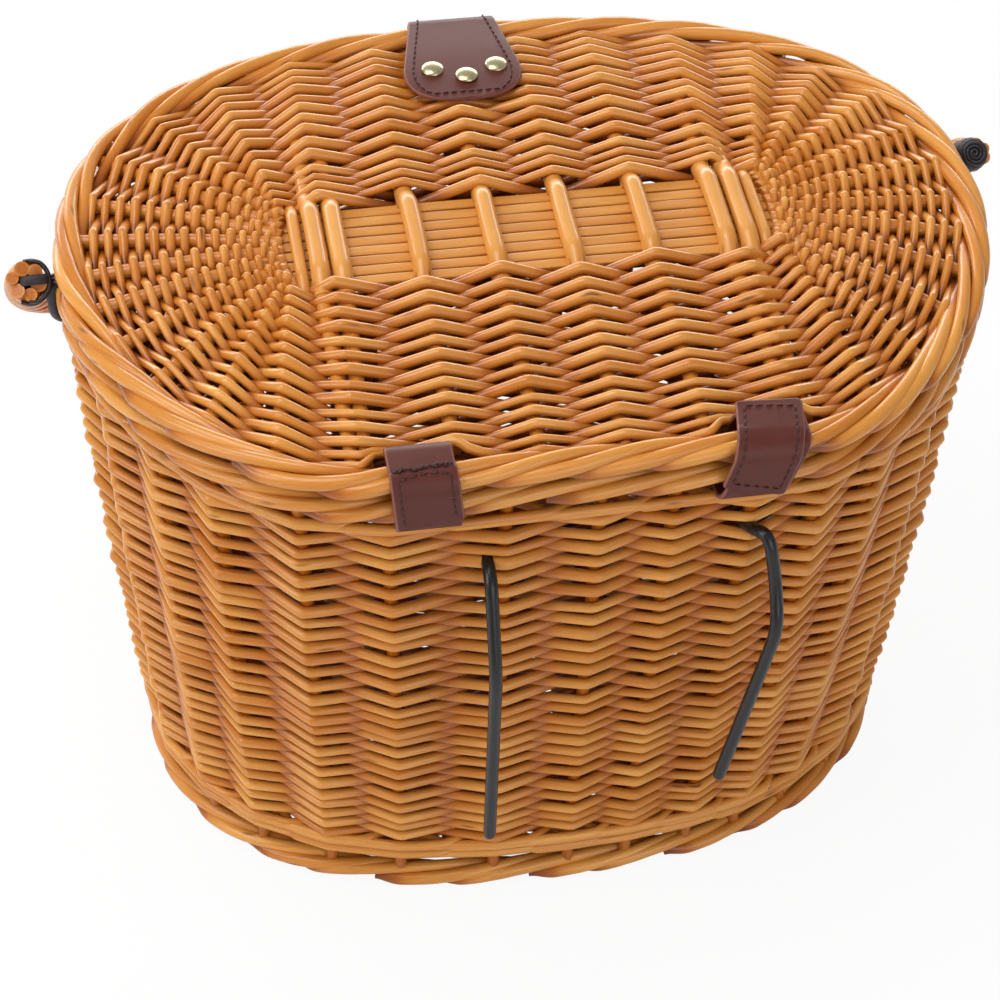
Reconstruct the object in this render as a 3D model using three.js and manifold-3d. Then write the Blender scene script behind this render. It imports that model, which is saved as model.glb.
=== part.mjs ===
// Lidded willow handlebar basket with a swinging carry handle, two hooks for a
// handlebar and a leather closure flap. Millimetres, +Z up. The rider's side,
// with the hooks and the leather hinges, faces -Y and the closure faces +Y.
import * as THREE from 'three';
import Module from 'manifold-3d';

const wasm = await Module();
wasm.setup();

// Driving dimensions

// Plan outline of the lid and the rim, measured over the outermost rods.
const lidHalfLength = 200;
const lidFrontDepth = 150;
const lidRearDepth = 143;
const lidStraightHalf = 86; // half of the straight stretch that the hinges sit on
const lidFrontPower = 2.44;
const lidRearPower = 1.71;

// Plan outline of the foot, over the outermost rods.
const footHalfLength = 178;
const footHalfDepth = 132;
const footPower = 2.4;

const lidBorderHeight = 280; // floor to the middle of the lid's border
const stakeCount = 34;
const columns = 2 * stakeCount; // steps round the oval
const stakeRadius = 2.6;
const stakeSides = 5;
const seatGap = 0.3; // running clearance between pieces that touch
const drillSides = 8;
const steepShare = 0.9; // a line steeper than this takes X as its first side
const curveSamples = 400; // points that a curve is measured on before it is divided
const hingeGap = 0.5; // lid border above rim border

// Rolled borders: rods laid side by side and twisted round the oval.
const borderRadius = 6.5;
const borderLobes = 3;
const borderLobeDepth = 0.9;
const borderTurns = 16;
const borderSides = 9;
const borderSteps = 64;
const footFlatDepth = 0.9; // how much of the foot border is worn flat

// Side wall.
const wallInset = 3; // borders stand proud of the wall by this much
const wallThickness = 7;
const wallRibHeight = 1.2; // over a stake, proud of the wall's face
const wallDip = 2; // between stakes, behind the wall's face
const wallBelly = 1.5;
const wallRows = 5;
const innerRows = 2;
const waleHeight = 6;
const waleProud = 1.6;
const lowerWales = 2; // bands of heavier weaving above the foot; one more lies under the rim
const footGapHeight = 9; // open band between the foot border and the wall

// Base.
const baseThickness = 6;
const baseRise = 3;
const baseStickRadius = 3;
const stickSides = 10;

// Lid.
const lidThickness = 5; // between the stakes
const lidRise = 5;
const lidRibHeight = 2.3; // over and under each stake
const lidCoreRib = 2.4; // added beside the core, where the sticks run on as stakes
const lidRows = 3;
const panelDepth = 49;
const lathCount = 8;
const lathThickness = 3;
const lathSink = 4; // laths' underside below the lid's crown
const lathBevel = 0.5;
const lathGap = 0.6;
const stickRadius = 4.1;
const stickOverlap = 5; // how far each stick runs into the weave
const outerStickRadius = 2.6;
const mainSticks = 6;
const stickPitch = 32.6; // between the main sticks
const pairedStickStep = 9.4; // main end stick to its neighbour
const outerStickStep = 7.4; // that neighbour to the outermost, thinner stick

// Leather hinge straps.
const strapWidth = 27;
const strapLeather = 2;
const strapReach = 13; // border middle to the strap's inner leg
const strapCorner = 4;
const strapTailRise = 3.4; // tail's end above the underside of the loop
const strapLap = 2.5; // second layer's upper edge inside the border's middle
const strapLeftX = -66;
const strapRightX = 73;
const strapGap = 0.4;

// Closure flap, its rivets and its hanging tongue.
const flapX = -10.5;
const flapLeather = 2.2;
const flapFoldWidth = 39;
const flapWideWidth = 53;
const flapLength = 64; // rounded end back from the outer edge of the border
const flapWideReach = 40;
const flapEndWidth = 22;
const flapDrop = 6;
const flapSteps = 7;
const flapTurnShare = 0.62; // of a half turn, where the flap meets the border
const flapRivet = {
  headRadius: 5,
  headRise: 2.6,
  shankRadius: 1.5,
  tailRadius: 3.6,
  tailThickness: 0.8,
  sides: 12,
};
const rivetPitch = 14.4;
const rivetReach = 49.5; // middle rivet back from the outer edge
const rivetStagger = 6.6;
const tongueWidth = 32;
const tongueLength = 54;
const tongueEndRadius = 12;
const tongueRestAngle = 20;
const tongueClosedAngle = 6; // from the vertical, pressed home over the button
const tongueSlotReach = 38;
const slotLength = 17;
const slotHeight = 7.4;
const slotFrame = 4;
const plateThickness = 0.8;
const plateRivet = {
  headRadius: 1.6,
  headRise: 0.8,
  shankRadius: 0.8,
  tailRadius: 1.6,
  tailThickness: 0.4,
  sides: 8,
};

// Turn button and its backing on the front wall.
const backingWidth = 34;
const backingHeight = 42;
const backingLeather = 2;
const lockPlateWidth = 26;
const lockPlateHeight = 20;
const lockPlateThickness = 1.2;
const cornerRadius = 3;
const buttonStemRadius = 2;
const buttonStemGap = 1.45; // button head over the closed tongue
const buttonLength = 14;
const buttonWidth = 4.4;
const buttonThickness = 2;

// Carry handle: a hollow twisted bundle of rods.
const handleRadius = 9.5;
const handleLobes = 6;
const handleLobeDepth = 1.5;
const handleTurns = 6;
const handleForward = 66; // how far the raised-forward handle reaches past the lid's front
const handlePower = 2.6;
const handleStub = 10; // bundle end behind the pivot
const handleBore = 3.6;
const handleBoreDepth = 20;
const handleSideGap = 2.5;
const handlePivotY = 30; // midway between the pivots
const handleSkew = 15; // the right pivot is ahead of that middle by this, the left one behind
const handleRestAngle = -45;
const handleSteps = 40;

// Cord ties that hang the handle.
const cordRadius = 2;
const cordGap = 0.8;
const cordLoopHeight = 22.5;
const cordInnerReach = 10; // inside the rim border
const cordCorner = 3.5;
const cornerSteps = 3;
const knotRadius = 3.6;
const knotSides = 8;
const cordSides = 8;

// Hook bracket: one coated round rod, bent cold.
const hookRadius = 2.75;
const hookGap = 0.4;
const hookBarInset = 3.5; // bar middle in from the wall
const leftHookX = -39;
const leftHookDrop = 34.5; // rim border's middle down to where the rod leaves the wall
const rightHookX = 64;
const rightHookDrop = 31.5;
const hookStand = 28; // wall to the middle of a hook's leg
const leftLegDrop = 145;
const rightLegDrop = 125;
const leftKneeDrop = 40;
const rightKneeDrop = 32;
const rightRise = 8;
const rightOffset = 13;
const riseOffsetShare = 0.7; // of that offset, where the rod is highest
const bendStandShare = 0.67; // of the stand, where the rod turns down
const rightLean = 17; // the right leg's foot is bent inwards by this
const hookSides = 8;

// Finishes

const willow = { color: 0xc57a33, roughness: 0.45, metalness: 0 };
const paleWillow = { color: 0xcf8a42, roughness: 0.42, metalness: 0 };
const leather = { color: 0x5b2b20, roughness: 0.5, metalness: 0 };
const brass = { color: 0xb89a5a, roughness: 0.3, metalness: 1 };
const coated = { color: 0x1b1b1d, roughness: 0.35, metalness: 0 };
const cord = { color: 0x3a3234, roughness: 0.6, metalness: 0 };

// Heights and levels that follow from the driving dimensions

const rimBorderHeight = lidBorderHeight - 2 * borderRadius - hingeGap;
const footBorderHeight = borderRadius - footFlatDepth;
const footTop = footBorderHeight + borderRadius;
const wallBottom = footTop + footGapHeight;
const wallTop = rimBorderHeight - borderRadius - seatGap;
const rearBorderY = borderRadius - lidRearDepth;
const leftHookHeight = rimBorderHeight - leftHookDrop;
const rightHookHeight = rimBorderHeight - rightHookDrop;
const frontBorderY = lidFrontDepth - borderRadius;

// Outlines

// Evenly spaced points along one half of an oval, from +X round to -X, with the
// front half at side 1 and the rear half at side -1. The curve is a superellipse
// on each side of a straight middle stretch.
function halfOval({ halfLength, depth, straightHalf, power }, side, count) {
  const dense = [];
  for (let i = 0; i <= curveSamples; i++) {
    const angle = (Math.PI / 2) * (1 - i / curveSamples);
    const along = Math.pow(Math.sin(angle), 2 / power);
    const across = Math.pow(Math.cos(angle), 2 / power);
    dense.push([straightHalf + (halfLength - straightHalf) * along, side * depth * across]);
  }
  const mirrored = dense.map(([x, y]) => [-x, y]).reverse();
  return resample(dense.concat(mirrored), count);
}

// Points at equal steps of length along an open line; the last point is left out.
function resample(line, count) {
  const lengths = [0];
  for (let i = 1; i < line.length; i++) {
    const step = Math.hypot(...line[i].map((value, axis) => value - line[i - 1][axis]));
    lengths.push(lengths[i - 1] + step);
  }
  const total = lengths[lengths.length - 1];
  const points = [];
  let k = 1;
  for (let i = 0; i < count; i++) {
    const target = (total * i) / count;
    while (lengths[k] < target) k++;
    const share = (target - lengths[k - 1]) / (lengths[k] - lengths[k - 1]);
    points.push(line[k].map((value, axis) => line[k - 1][axis] + share * (value - line[k - 1][axis])));
  }
  return points;
}

// The whole oval, anticlockwise from +X.
function oval(front, rear, count) {
  const half = count / 2;
  const back = halfOval(rear, -1, half).map(([x, y]) => [-x, y]);
  return halfOval(front, 1, half).concat(back);
}

// Moves a closed anticlockwise outline inwards by a distance.
function insetOutline(points, distance) {
  return points.map((point, i) => {
    const before = points[(i + points.length - 1) % points.length];
    const after = points[(i + 1) % points.length];
    const dx = after[0] - before[0];
    const dy = after[1] - before[1];
    const length = Math.hypot(dx, dy);
    return [point[0] - (distance * dy) / length, point[1] + (distance * dx) / length];
  });
}

const rimFront = {
  halfLength: lidHalfLength,
  depth: lidFrontDepth,
  straightHalf: 0,
  power: lidFrontPower,
};
const rimRear = {
  halfLength: lidHalfLength,
  depth: lidRearDepth,
  straightHalf: lidStraightHalf,
  power: lidRearPower,
};
const rimOutline = oval(rimFront, rimRear, columns);
const footOval = { halfLength: footHalfLength, depth: footHalfDepth, straightHalf: 0, power: footPower };
const footOutline = oval(footOval, footOval, columns);

// The basket's outline at a height, inset by a distance.
function outlineAt(z, distance) {
  const share = (z - footBorderHeight) / (rimBorderHeight - footBorderHeight);
  const mixed = rimOutline.map(([x, y], i) => [
    footOutline[i][0] + share * (x - footOutline[i][0]),
    footOutline[i][1] + share * (y - footOutline[i][1]),
  ]);
  return insetOutline(mixed, distance);
}

// Outward distance of the wall's face along Y at a height, on the side given.
function wallFace(x, z, side, distance) {
  const line = outlineAt(z, distance).filter(([, y]) => y * side > 0);
  line.sort((a, b) => a[0] - b[0]);
  const k = line.findIndex(([px]) => px > x);
  const share = (x - line[k - 1][0]) / (line[k][0] - line[k - 1][0]);
  return line[k - 1][1] + share * (line[k][1] - line[k - 1][1]);
}

// Solids

// Joins rows of points into a closed surface. Every row is a closed loop; the
// rows close on themselves when ring is true, and otherwise both ends are capped.
function skin(rows, ring) {
  const positions = [];
  const count = rows[0].length;
  for (const row of rows) for (const point of row) positions.push(...point);
  const index = [];
  const spans = ring ? rows.length : rows.length - 1;
  for (let r = 0; r < spans; r++) {
    const a = r * count;
    const b = ((r + 1) % rows.length) * count;
    for (let i = 0; i < count; i++) {
      const j = (i + 1) % count;
      index.push(a + i, a + j, b + j, a + i, b + j, b + i);
    }
  }
  if (!ring) {
    for (const [row, flip] of [[0, true], [rows.length - 1, false]]) {
      const centre = positions.length / 3;
      const mean = [0, 1, 2].map((axis) => rows[row].reduce((sum, p) => sum + p[axis], 0) / count);
      positions.push(...mean);
      for (let i = 0; i < count; i++) {
        const j = (i + 1) % count;
        if (flip) index.push(centre, row * count + j, row * count + i);
        else index.push(centre, row * count + i, row * count + j);
      }
    }
  }
  const geometry = new THREE.BufferGeometry();
  geometry.setAttribute('position', new THREE.Float32BufferAttribute(positions, 3));
  geometry.setIndex(index);
  return geometry;
}

function toManifold(geometry) {
  const mesh = new wasm.Mesh({
    numProp: 3,
    vertProperties: new Float32Array(geometry.attributes.position.array),
    triVerts: new Uint32Array(geometry.index.array),
  });
  mesh.merge();
  return new wasm.Manifold(mesh);
}

function fromManifold(solid) {
  const mesh = solid.getMesh();
  const geometry = new THREE.BufferGeometry();
  geometry.setAttribute('position', new THREE.Float32BufferAttribute(mesh.vertProperties, 3));
  geometry.setIndex(Array.from(mesh.triVerts));
  return geometry;
}

// A box between two corners.
function block(low, high) {
  const size = high.map((value, axis) => value - low[axis]);
  const middle = high.map((value, axis) => (value + low[axis]) / 2);
  return toManifold(indexed(new THREE.BoxGeometry(...size).translate(...middle)));
}

// A round bar along an axis, from a start point.
function bar(start, axis, length, radius, sides) {
  const geometry = new THREE.CylinderGeometry(radius, radius, length, sides);
  geometry.translate(0, length / 2, 0);
  if (axis === 'x') geometry.rotateZ(-Math.PI / 2);
  if (axis === 'z') geometry.rotateX(Math.PI / 2);
  return toManifold(indexed(geometry.translate(...start)));
}

// A round drill about Z, its middle at the origin.
function drill(radius, length) {
  const geometry = new THREE.CylinderGeometry(radius, radius, length, drillSides);
  return geometry.rotateX(Math.PI / 2);
}

// A tube along a line of points, its ring of radii given for each step.
function sweep(points, closed, radiusAt, sides) {
  const count = points.length;
  const place = points.map((p) => new THREE.Vector3(...p));
  const tangents = place.map((p, i) => {
    const before = closed ? place[(i + count - 1) % count] : place[Math.max(i - 1, 0)];
    const after = closed ? place[(i + 1) % count] : place[Math.min(i + 1, count - 1)];
    return after.clone().sub(before).normalize();
  });
  const steep = Math.abs(tangents[0].z) > steepShare;
  const first = new THREE.Vector3(steep ? 1 : 0, 0, steep ? 0 : 1);
  let side = new THREE.Vector3().crossVectors(tangents[0], first).normalize();
  const rows = place.map((p, i) => {
    side.addScaledVector(tangents[i], -side.dot(tangents[i])).normalize();
    const up = new THREE.Vector3().crossVectors(side, tangents[i]);
    const row = [];
    for (let k = 0; k < sides; k++) {
      const angle = (-2 * Math.PI * k) / sides;
      const radius = radiusAt(i / count, angle);
      row.push(p.clone().addScaledVector(side, radius * Math.cos(angle))
        .addScaledVector(up, radius * Math.sin(angle)).toArray());
    }
    side = side.clone();
    return row;
  });
  return skin(rows, closed);
}

// Radius of a bundle of rods: rounded lobes that turn along its length.
function bundle(radius, lobes, depth, turns) {
  return (share, angle) =>
    radius - depth * (0.5 - 0.5 * Math.cos(lobes * angle + 2 * Math.PI * turns * share));
}

// A rectangle with rounded corners, centred on X and at a height on Y.
function roundedRectangle(width, height, radius, middle) {
  const shape = new THREE.Shape();
  const w = width / 2 - radius;
  const h = height / 2 - radius;
  shape.absarc(w, middle + h, radius, 0, Math.PI / 2);
  shape.absarc(-w, middle + h, radius, Math.PI / 2, Math.PI);
  shape.absarc(-w, middle - h, radius, Math.PI, 1.5 * Math.PI);
  shape.absarc(w, middle - h, radius, 1.5 * Math.PI, 2 * Math.PI);
  return shape;
}

// A flat sheet in X and Y with rounded corners, laid from z = 0 upwards.
function sheet(width, height, radius, thickness) {
  return extrude(roundedRectangle(width, height, radius, 0), thickness, 3);
}

function extrude(shape, depth, curveSegments) {
  const geometry = new THREE.ExtrudeGeometry(shape, { depth, curveSegments, bevelEnabled: false });
  return indexed(geometry);
}

// The same surface with its points joined and numbered.
function indexed(geometry) {
  const keys = new Map();
  const positions = [];
  const index = [];
  const source = geometry.attributes.position;
  const order = geometry.index ? geometry.index.array : Array.from({ length: source.count }, (_, i) => i);
  for (const i of order) {
    const point = [source.getX(i), source.getY(i), source.getZ(i)];
    const key = point.map((value) => Math.round(value * 1e4)).join(' ');
    if (!keys.has(key)) {
      keys.set(key, positions.length / 3);
      positions.push(...point);
    }
    index.push(keys.get(key));
  }
  const result = new THREE.BufferGeometry();
  result.setAttribute('position', new THREE.Float32BufferAttribute(positions, 3));
  const whole = [];
  for (let t = 0; t < index.length; t += 3) {
    const [a, b, c] = index.slice(t, t + 3);
    if (a !== b && b !== c && c !== a) whole.push(a, b, c);
  }
  result.setIndex(whole);
  return result;
}

function named(name, geometry, finish) {
  const flat = geometry.index ? geometry.toNonIndexed() : geometry;
  flat.computeVertexNormals();
  const mesh = new THREE.Mesh(flat, new THREE.MeshStandardMaterial(finish));
  mesh.name = name;
  return mesh;
}

// Rings and shell of the basket

// A rolled border: a closed twisted bundle following an outline.
function border(front, rear, height, steps) {
  const line = insetOutline(oval(front, rear, steps), borderRadius);
  const path = line.map(([x, y]) => [x, y, height]);
  const radiusAt = bundle(borderRadius, borderLobes, borderLobeDepth, borderTurns);
  return sweep(path, true, radiusAt, borderSides);
}

const cordHigh = rimBorderHeight;
const cordLow = cordHigh - cordLoopHeight;

// Half width of the rim's front at a distance ahead of its middle.
function rimReach(y) {
  const across = Math.pow(Math.abs(y) / lidFrontDepth, lidFrontPower);
  return lidHalfLength * Math.pow(1 - across, 1 / lidFrontPower);
}

// The handle hangs a little askew: its pivots clear the rim beside each bundle end.
const [leftPivot, rightPivot] = [-1, 1].map((side) => {
  const y = handlePivotY + side * handleSkew;
  return [side * (rimReach(y - handleStub) + handleSideGap + handleRadius), y];
});
const handleMiddle = leftPivot.map((value, axis) => (value + rightPivot[axis]) / 2);
const handleSpan = rightPivot.map((value, axis) => value - leftPivot[axis]);
const handleHalfSpan = Math.hypot(...handleSpan) / 2;
const handleYaw = Math.atan2(handleSpan[1], handleSpan[0]);
const handleReach = lidFrontDepth - handlePivotY + handleForward;

// A hole for the handle's cords at a height, right through both sides.
function cordHole(height) {
  const hole = bar([-handleHalfSpan, 0, height], 'x', 2 * handleHalfSpan, cordRadius + cordGap, drillSides);
  return hole.rotate([0, 0, THREE.MathUtils.radToDeg(handleYaw)]).translate([...handleMiddle, 0]);
}
const rearWallAt = (x, z) => wallFace(x, z, -1, wallInset);

function rimBorder() {
  const ring = toManifold(border(rimFront, rimRear, rimBorderHeight, borderSteps));
  return fromManifold(ring.subtract(cordHole(cordHigh)));
}

function footBorder() {
  const ring = toManifold(border(footOval, footOval, footBorderHeight, borderSteps));
  const reach = lidHalfLength;
  return fromManifold(ring.subtract(block([-reach, -reach, -borderRadius], [reach, reach, 0])));
}

// The side wall: waling at the bottom and top, ribs over the stakes, a slight
// belly between, and the stakes' ends standing on the foot border.
function sideWall() {
  const height = wallTop - wallBottom;
  const wale = Array.from({ length: 2 * lowerWales + 1 }, (_, i) => (i * waleHeight) / 2);
  const plain = Array.from({ length: wallRows }, (_, i) => (
    lowerWales * waleHeight + ((height - (lowerWales + 1) * waleHeight) * (i + 1)) / wallRows));
  const topWale = [height - waleHeight / 2, height];
  const belly = (rise) => wallBelly * Math.sin((Math.PI * rise) / height);
  const outer = [
    ...wale.map((rise, i) => ({ rise, proud: i % 2 ? waleProud : 0, relief: 0 })),
    ...plain.map((rise, i) => ({ rise, proud: belly(rise), relief: i < wallRows - 1 ? 1 : 0 })),
    ...topWale.map((rise, i) => ({ rise, proud: i ? 0 : waleProud, relief: 0 })),
  ];
  const rows = outer.map(({ rise, proud, relief }) => {
    const z = wallBottom + rise;
    const valley = outlineAt(z, wallInset - proud + relief * wallDip);
    const ridge = outlineAt(z, wallInset - proud - relief * wallRibHeight);
    return valley.map((point, i) => [...(i % 2 ? point : ridge[i]), z]);
  });
  for (let i = innerRows; i >= 0; i--) {
    const rise = (height * i) / innerRows;
    const z = wallBottom + rise;
    rows.push(outlineAt(z, wallInset + wallThickness - belly(rise)).map(([x, y]) => [x, y, z]));
  }
  let wall = toManifold(skin(rows, true));
  const feet = outlineAt(wallBottom, wallInset + wallThickness / 2);
  const stub = wallBottom + waleHeight - footTop - seatGap;
  const stubs = feet.filter((_, i) => i % 2 === 0).map(([x, y]) => (
    bar([x, y, footTop + seatGap], 'z', stub, stakeRadius, stakeSides)));
  wall = wasm.Manifold.union([wall, ...stubs]);
  const cuts = [cordHole(cordLow)];
  for (const [x, z] of [[leftHookX, leftHookHeight], [rightHookX, rightHookHeight]]) {
    cuts.push(bar([x, -lidRearDepth, z], 'y', lidRearDepth, hookRadius + hookGap, drillSides));
  }
  for (const x of [strapLeftX, strapRightX]) {
    const side = strapWidth / 2 + strapGap;
    const drop = rimBorderHeight - borderRadius - 2 * strapGap - strapLeather;
    cuts.push(block([x - side, -lidRearDepth, drop], [x + side, 0, lidBorderHeight]));
  }
  for (const share of lockRivetSides) cuts.push(lockDrill(share));
  return fromManifold(wall.subtract(wasm.Manifold.union(cuts)));
}

function baseHeight() {
  return wallBottom + baseRise;
}

function stickRow(pitch) {
  return Array.from({ length: mainSticks }, (_, i) => (i - (mainSticks - 1) / 2) * pitch);
}

// The raised base, with a groove for each cross stick.
function basePanel() {
  const low = baseHeight();
  const inset = wallInset + wallThickness + seatGap;
  const rows = [low, low + baseThickness].map((z) => outlineAt(z, inset).map(([x, y]) => [x, y, z]));
  const groove = baseStickRadius + seatGap;
  const grooves = stickRow(stickPitch).map((x) => (
    bar([x, -lidRearDepth, low + baseThickness], 'y', 2 * lidRearDepth, groove, stickSides)));
  return fromManifold(toManifold(skin(rows, false)).subtract(wasm.Manifold.union(grooves)));
}

// Front and rear ends of a base stick, clear of the wall at its outer corner.
function baseStickEnds(x) {
  const z = baseHeight() + baseThickness;
  const inset = wallInset + wallThickness + 2 * seatGap;
  const corner = x + Math.sign(x) * baseStickRadius;
  return [wallFace(corner, z, -1, inset), wallFace(corner, z, 1, inset)];
}

// Lid

const outerStickX = ((mainSticks - 1) / 2) * stickPitch + pairedStickStep + outerStickStep;
const openingHalfLength = outerStickX + outerStickRadius + seatGap;
const openingHalfDepth = panelDepth / 2 + seatGap;
const coreHalfLength = openingHalfLength + stickOverlap;
const coreHalfDepth = openingHalfDepth + stickOverlap + seatGap;
const lidEdge = insetOutline(oval(rimFront, rimRear, columns), 2 * borderRadius + seatGap);
const lidDepth = lidThickness + 2 * lidRibHeight;
const lathBottom = lidBorderHeight + lidRise - lathSink;
const lathTop = lathBottom + lathThickness;

// The inner end of each stake: straight across the lid beside the panel, and
// fanned out from the core's ends beyond it.
function coreOutline() {
  const ends = lidEdge.filter(([x]) => Math.abs(x) > coreHalfLength);
  const shoulder = Math.max(...ends.map(([, y]) => Math.abs(y)));
  return lidEdge.map(([x, y]) => {
    const across = Math.min(1, Math.abs(y) / shoulder);
    if (Math.abs(x) <= coreHalfLength) return [x, Math.sign(y) * coreHalfDepth];
    const round = stickOverlap * (1 - across * across);
    return [Math.sign(x) * (coreHalfLength + round), Math.sign(y) * coreHalfDepth * across];
  });
}

const lidCrown = (share) => lidBorderHeight + lidRise * (1 - (1 - share) * (1 - share));

// Top of the lid's weave on the front half, and its slope there.
function lidTop(y) {
  const edge = lidFrontDepth - 2 * borderRadius - seatGap;
  const span = edge - coreHalfDepth;
  const share = Math.max(0, (edge - y) / span);
  return {
    z: lidCrown(share) + lidDepth / 2,
    tilt: Math.atan((2 * lidRise * (1 - share)) / span),
  };
}

function lidWeave() {
  const core = coreOutline();
  const shares = Array.from({ length: lidRows }, (_, i) => i / (lidRows - 1));
  const layer = (share, side) => lidEdge.map(([x, y], i) => {
    const rib = i % 2 ? 0 : lidRibHeight + lidCoreRib * Math.max(0, 2 * share - 1);
    const z = lidCrown(share) + side * (lidThickness / 2 + rib);
    return [x + share * (core[i][0] - x), y + share * (core[i][1] - y), z];
  });
  const under = shares.map((share) => layer(share, -1)).reverse();
  const rows = [...under, ...shares.map((share) => layer(share, 1))];
  let slab = toManifold(skin(rows, false));
  const low = lidBorderHeight - lidDepth;
  const high = lidBorderHeight + lidRise + lidDepth;
  const corner = [openingHalfLength, openingHalfDepth];
  const cuts = [block([...corner.map((value) => -value), low], [...corner, high])];
  for (const { x, radius, z } of lidSticks()) {
    const length = 2 * (stickHalfLength + seatGap);
    cuts.push(bar([x, -length / 2, z], 'y', length, radius + seatGap, stickSides));
  }
  for (const x of [strapLeftX, strapRightX]) {
    const side = strapWidth / 2 + 3 * strapGap;
    const reach = rearBorderY + strapReach + strapLeather + 3 * strapGap;
    cuts.push(block([x - side, -lidRearDepth, low], [x + side, reach, high]));
  }
  for (const place of rivetPlaces()) cuts.push(rivetDrill(place));
  return fromManifold(slab.subtract(wasm.Manifold.union(cuts)));
}

const stickHalfLength = openingHalfDepth + stickOverlap;

function lidSticks() {
  const inner = stickRow(stickPitch).map((x) => ({ x, radius: stickRadius }));
  const paired = [-1, 1].map((side) => (
    { x: side * (outerStickX - outerStickStep), radius: stickRadius }));
  const outer = [-1, 1].map((side) => ({ x: side * outerStickX, radius: outerStickRadius }));
  return [...inner, ...paired, ...outer]
    .sort((a, b) => a.x - b.x)
    .map((stick) => ({ ...stick, z: lathTop + seatGap + stick.radius }));
}

function lath(width, length) {
  const shape = new THREE.Shape();
  const w = width / 2;
  const t = lathThickness / 2;
  shape.moveTo(-w, -t);
  shape.lineTo(w, -t);
  shape.lineTo(w, t - lathBevel);
  shape.lineTo(w - lathBevel, t);
  shape.lineTo(lathBevel - w, t);
  shape.lineTo(-w, t - lathBevel);
  shape.closePath();
  const geometry = extrude(shape, length, 1);
  geometry.applyMatrix4(alongX);
  return geometry.translate(-length / 2, 0, 0);
}

// Turns a profile drawn in Y and Z, and extruded, to run along X.
const alongX = new THREE.Matrix4().makeBasis(
  new THREE.Vector3(0, 1, 0), new THREE.Vector3(0, 0, 1), new THREE.Vector3(1, 0, 0));

// Leather hinges

// One strap: a band round both borders, stitched to a second layer that hangs
// down the outside.
function hingeStrap() {
  const rear = rearBorderY - borderRadius - strapGap;
  const front = rearBorderY + strapReach;
  const top = lidBorderHeight + borderRadius + strapGap;
  const bottom = rimBorderHeight - borderRadius - strapGap;
  const round = borderRadius + strapGap;
  const shape = new THREE.Shape();
  shape.moveTo(rear - 2 * strapLeather, bottom - strapLeather + strapTailRise);
  shape.lineTo(rear - strapLeather, bottom - strapLeather + strapTailRise);
  shape.lineTo(rear - strapLeather, bottom - strapLeather);
  shape.lineTo(front - strapCorner, bottom - strapLeather);
  shape.absarc(front - strapCorner, bottom + strapCorner, strapCorner + strapLeather, -Math.PI / 2, 0);
  shape.absarc(front - strapCorner, top - strapCorner, strapCorner + strapLeather, 0, Math.PI / 2);
  shape.lineTo(rear + round + strapLap, top + strapLeather);
  shape.lineTo(rear + round + strapLap, top + 2 * strapLeather);
  shape.absarc(rear + round, top - round, round + 2 * strapLeather, Math.PI / 2, Math.PI);
  shape.closePath();
  const hole = new THREE.Path();
  hole.moveTo(rear, bottom + round);
  hole.absarc(rear + round, bottom + round, round, Math.PI, 1.5 * Math.PI);
  hole.absarc(front - strapCorner, bottom + strapCorner, strapCorner, 1.5 * Math.PI, 2 * Math.PI);
  hole.absarc(front - strapCorner, top - strapCorner, strapCorner, 0, Math.PI / 2);
  hole.absarc(rear + round, top - round, round, Math.PI / 2, Math.PI);
  shape.holes.push(hole);
  const geometry = extrude(shape, strapWidth, 5);
  return geometry.applyMatrix4(alongX).translate(-strapWidth / 2, 0, 0);
}

// Closure flap, tongue and rivets

function rivetPlaces() {
  return [-1, 0, 1].map((step) => {
    const y = lidFrontDepth - rivetReach + Math.abs(step) * rivetStagger;
    return { x: flapX + step * rivetPitch, y, ...lidTop(y) };
  });
}

function rivetDrill({ x, y, z, tilt }) {
  const hole = drill(flapRivet.shankRadius + seatGap, 3 * lidDepth);
  return toManifold(indexed(hole.rotateX(-tilt).translate(x, y, z)));
}

// A domed rivet standing on z = 0, with its shank and tail below.
function rivet({ headRadius, headRise, shankRadius, tailRadius, tailThickness, sides }, shankLength) {
  const steps = sides / 4;
  const dome = Array.from({ length: steps }, (_, i) => {
    const angle = (Math.PI / 2) * (i / steps);
    return new THREE.Vector2(headRadius * Math.cos(angle), headRise * Math.sin(angle));
  });
  const profile = [
    new THREE.Vector2(0, -shankLength - tailThickness),
    new THREE.Vector2(tailRadius, -shankLength - tailThickness),
    new THREE.Vector2(tailRadius, -shankLength),
    new THREE.Vector2(shankRadius, -shankLength),
    new THREE.Vector2(shankRadius, 0),
    ...dome,
    new THREE.Vector2(0, headRise),
  ];
  const geometry = new THREE.LatheGeometry(profile, sides);
  geometry.rotateX(Math.PI / 2);
  return indexed(geometry);
}

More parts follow.
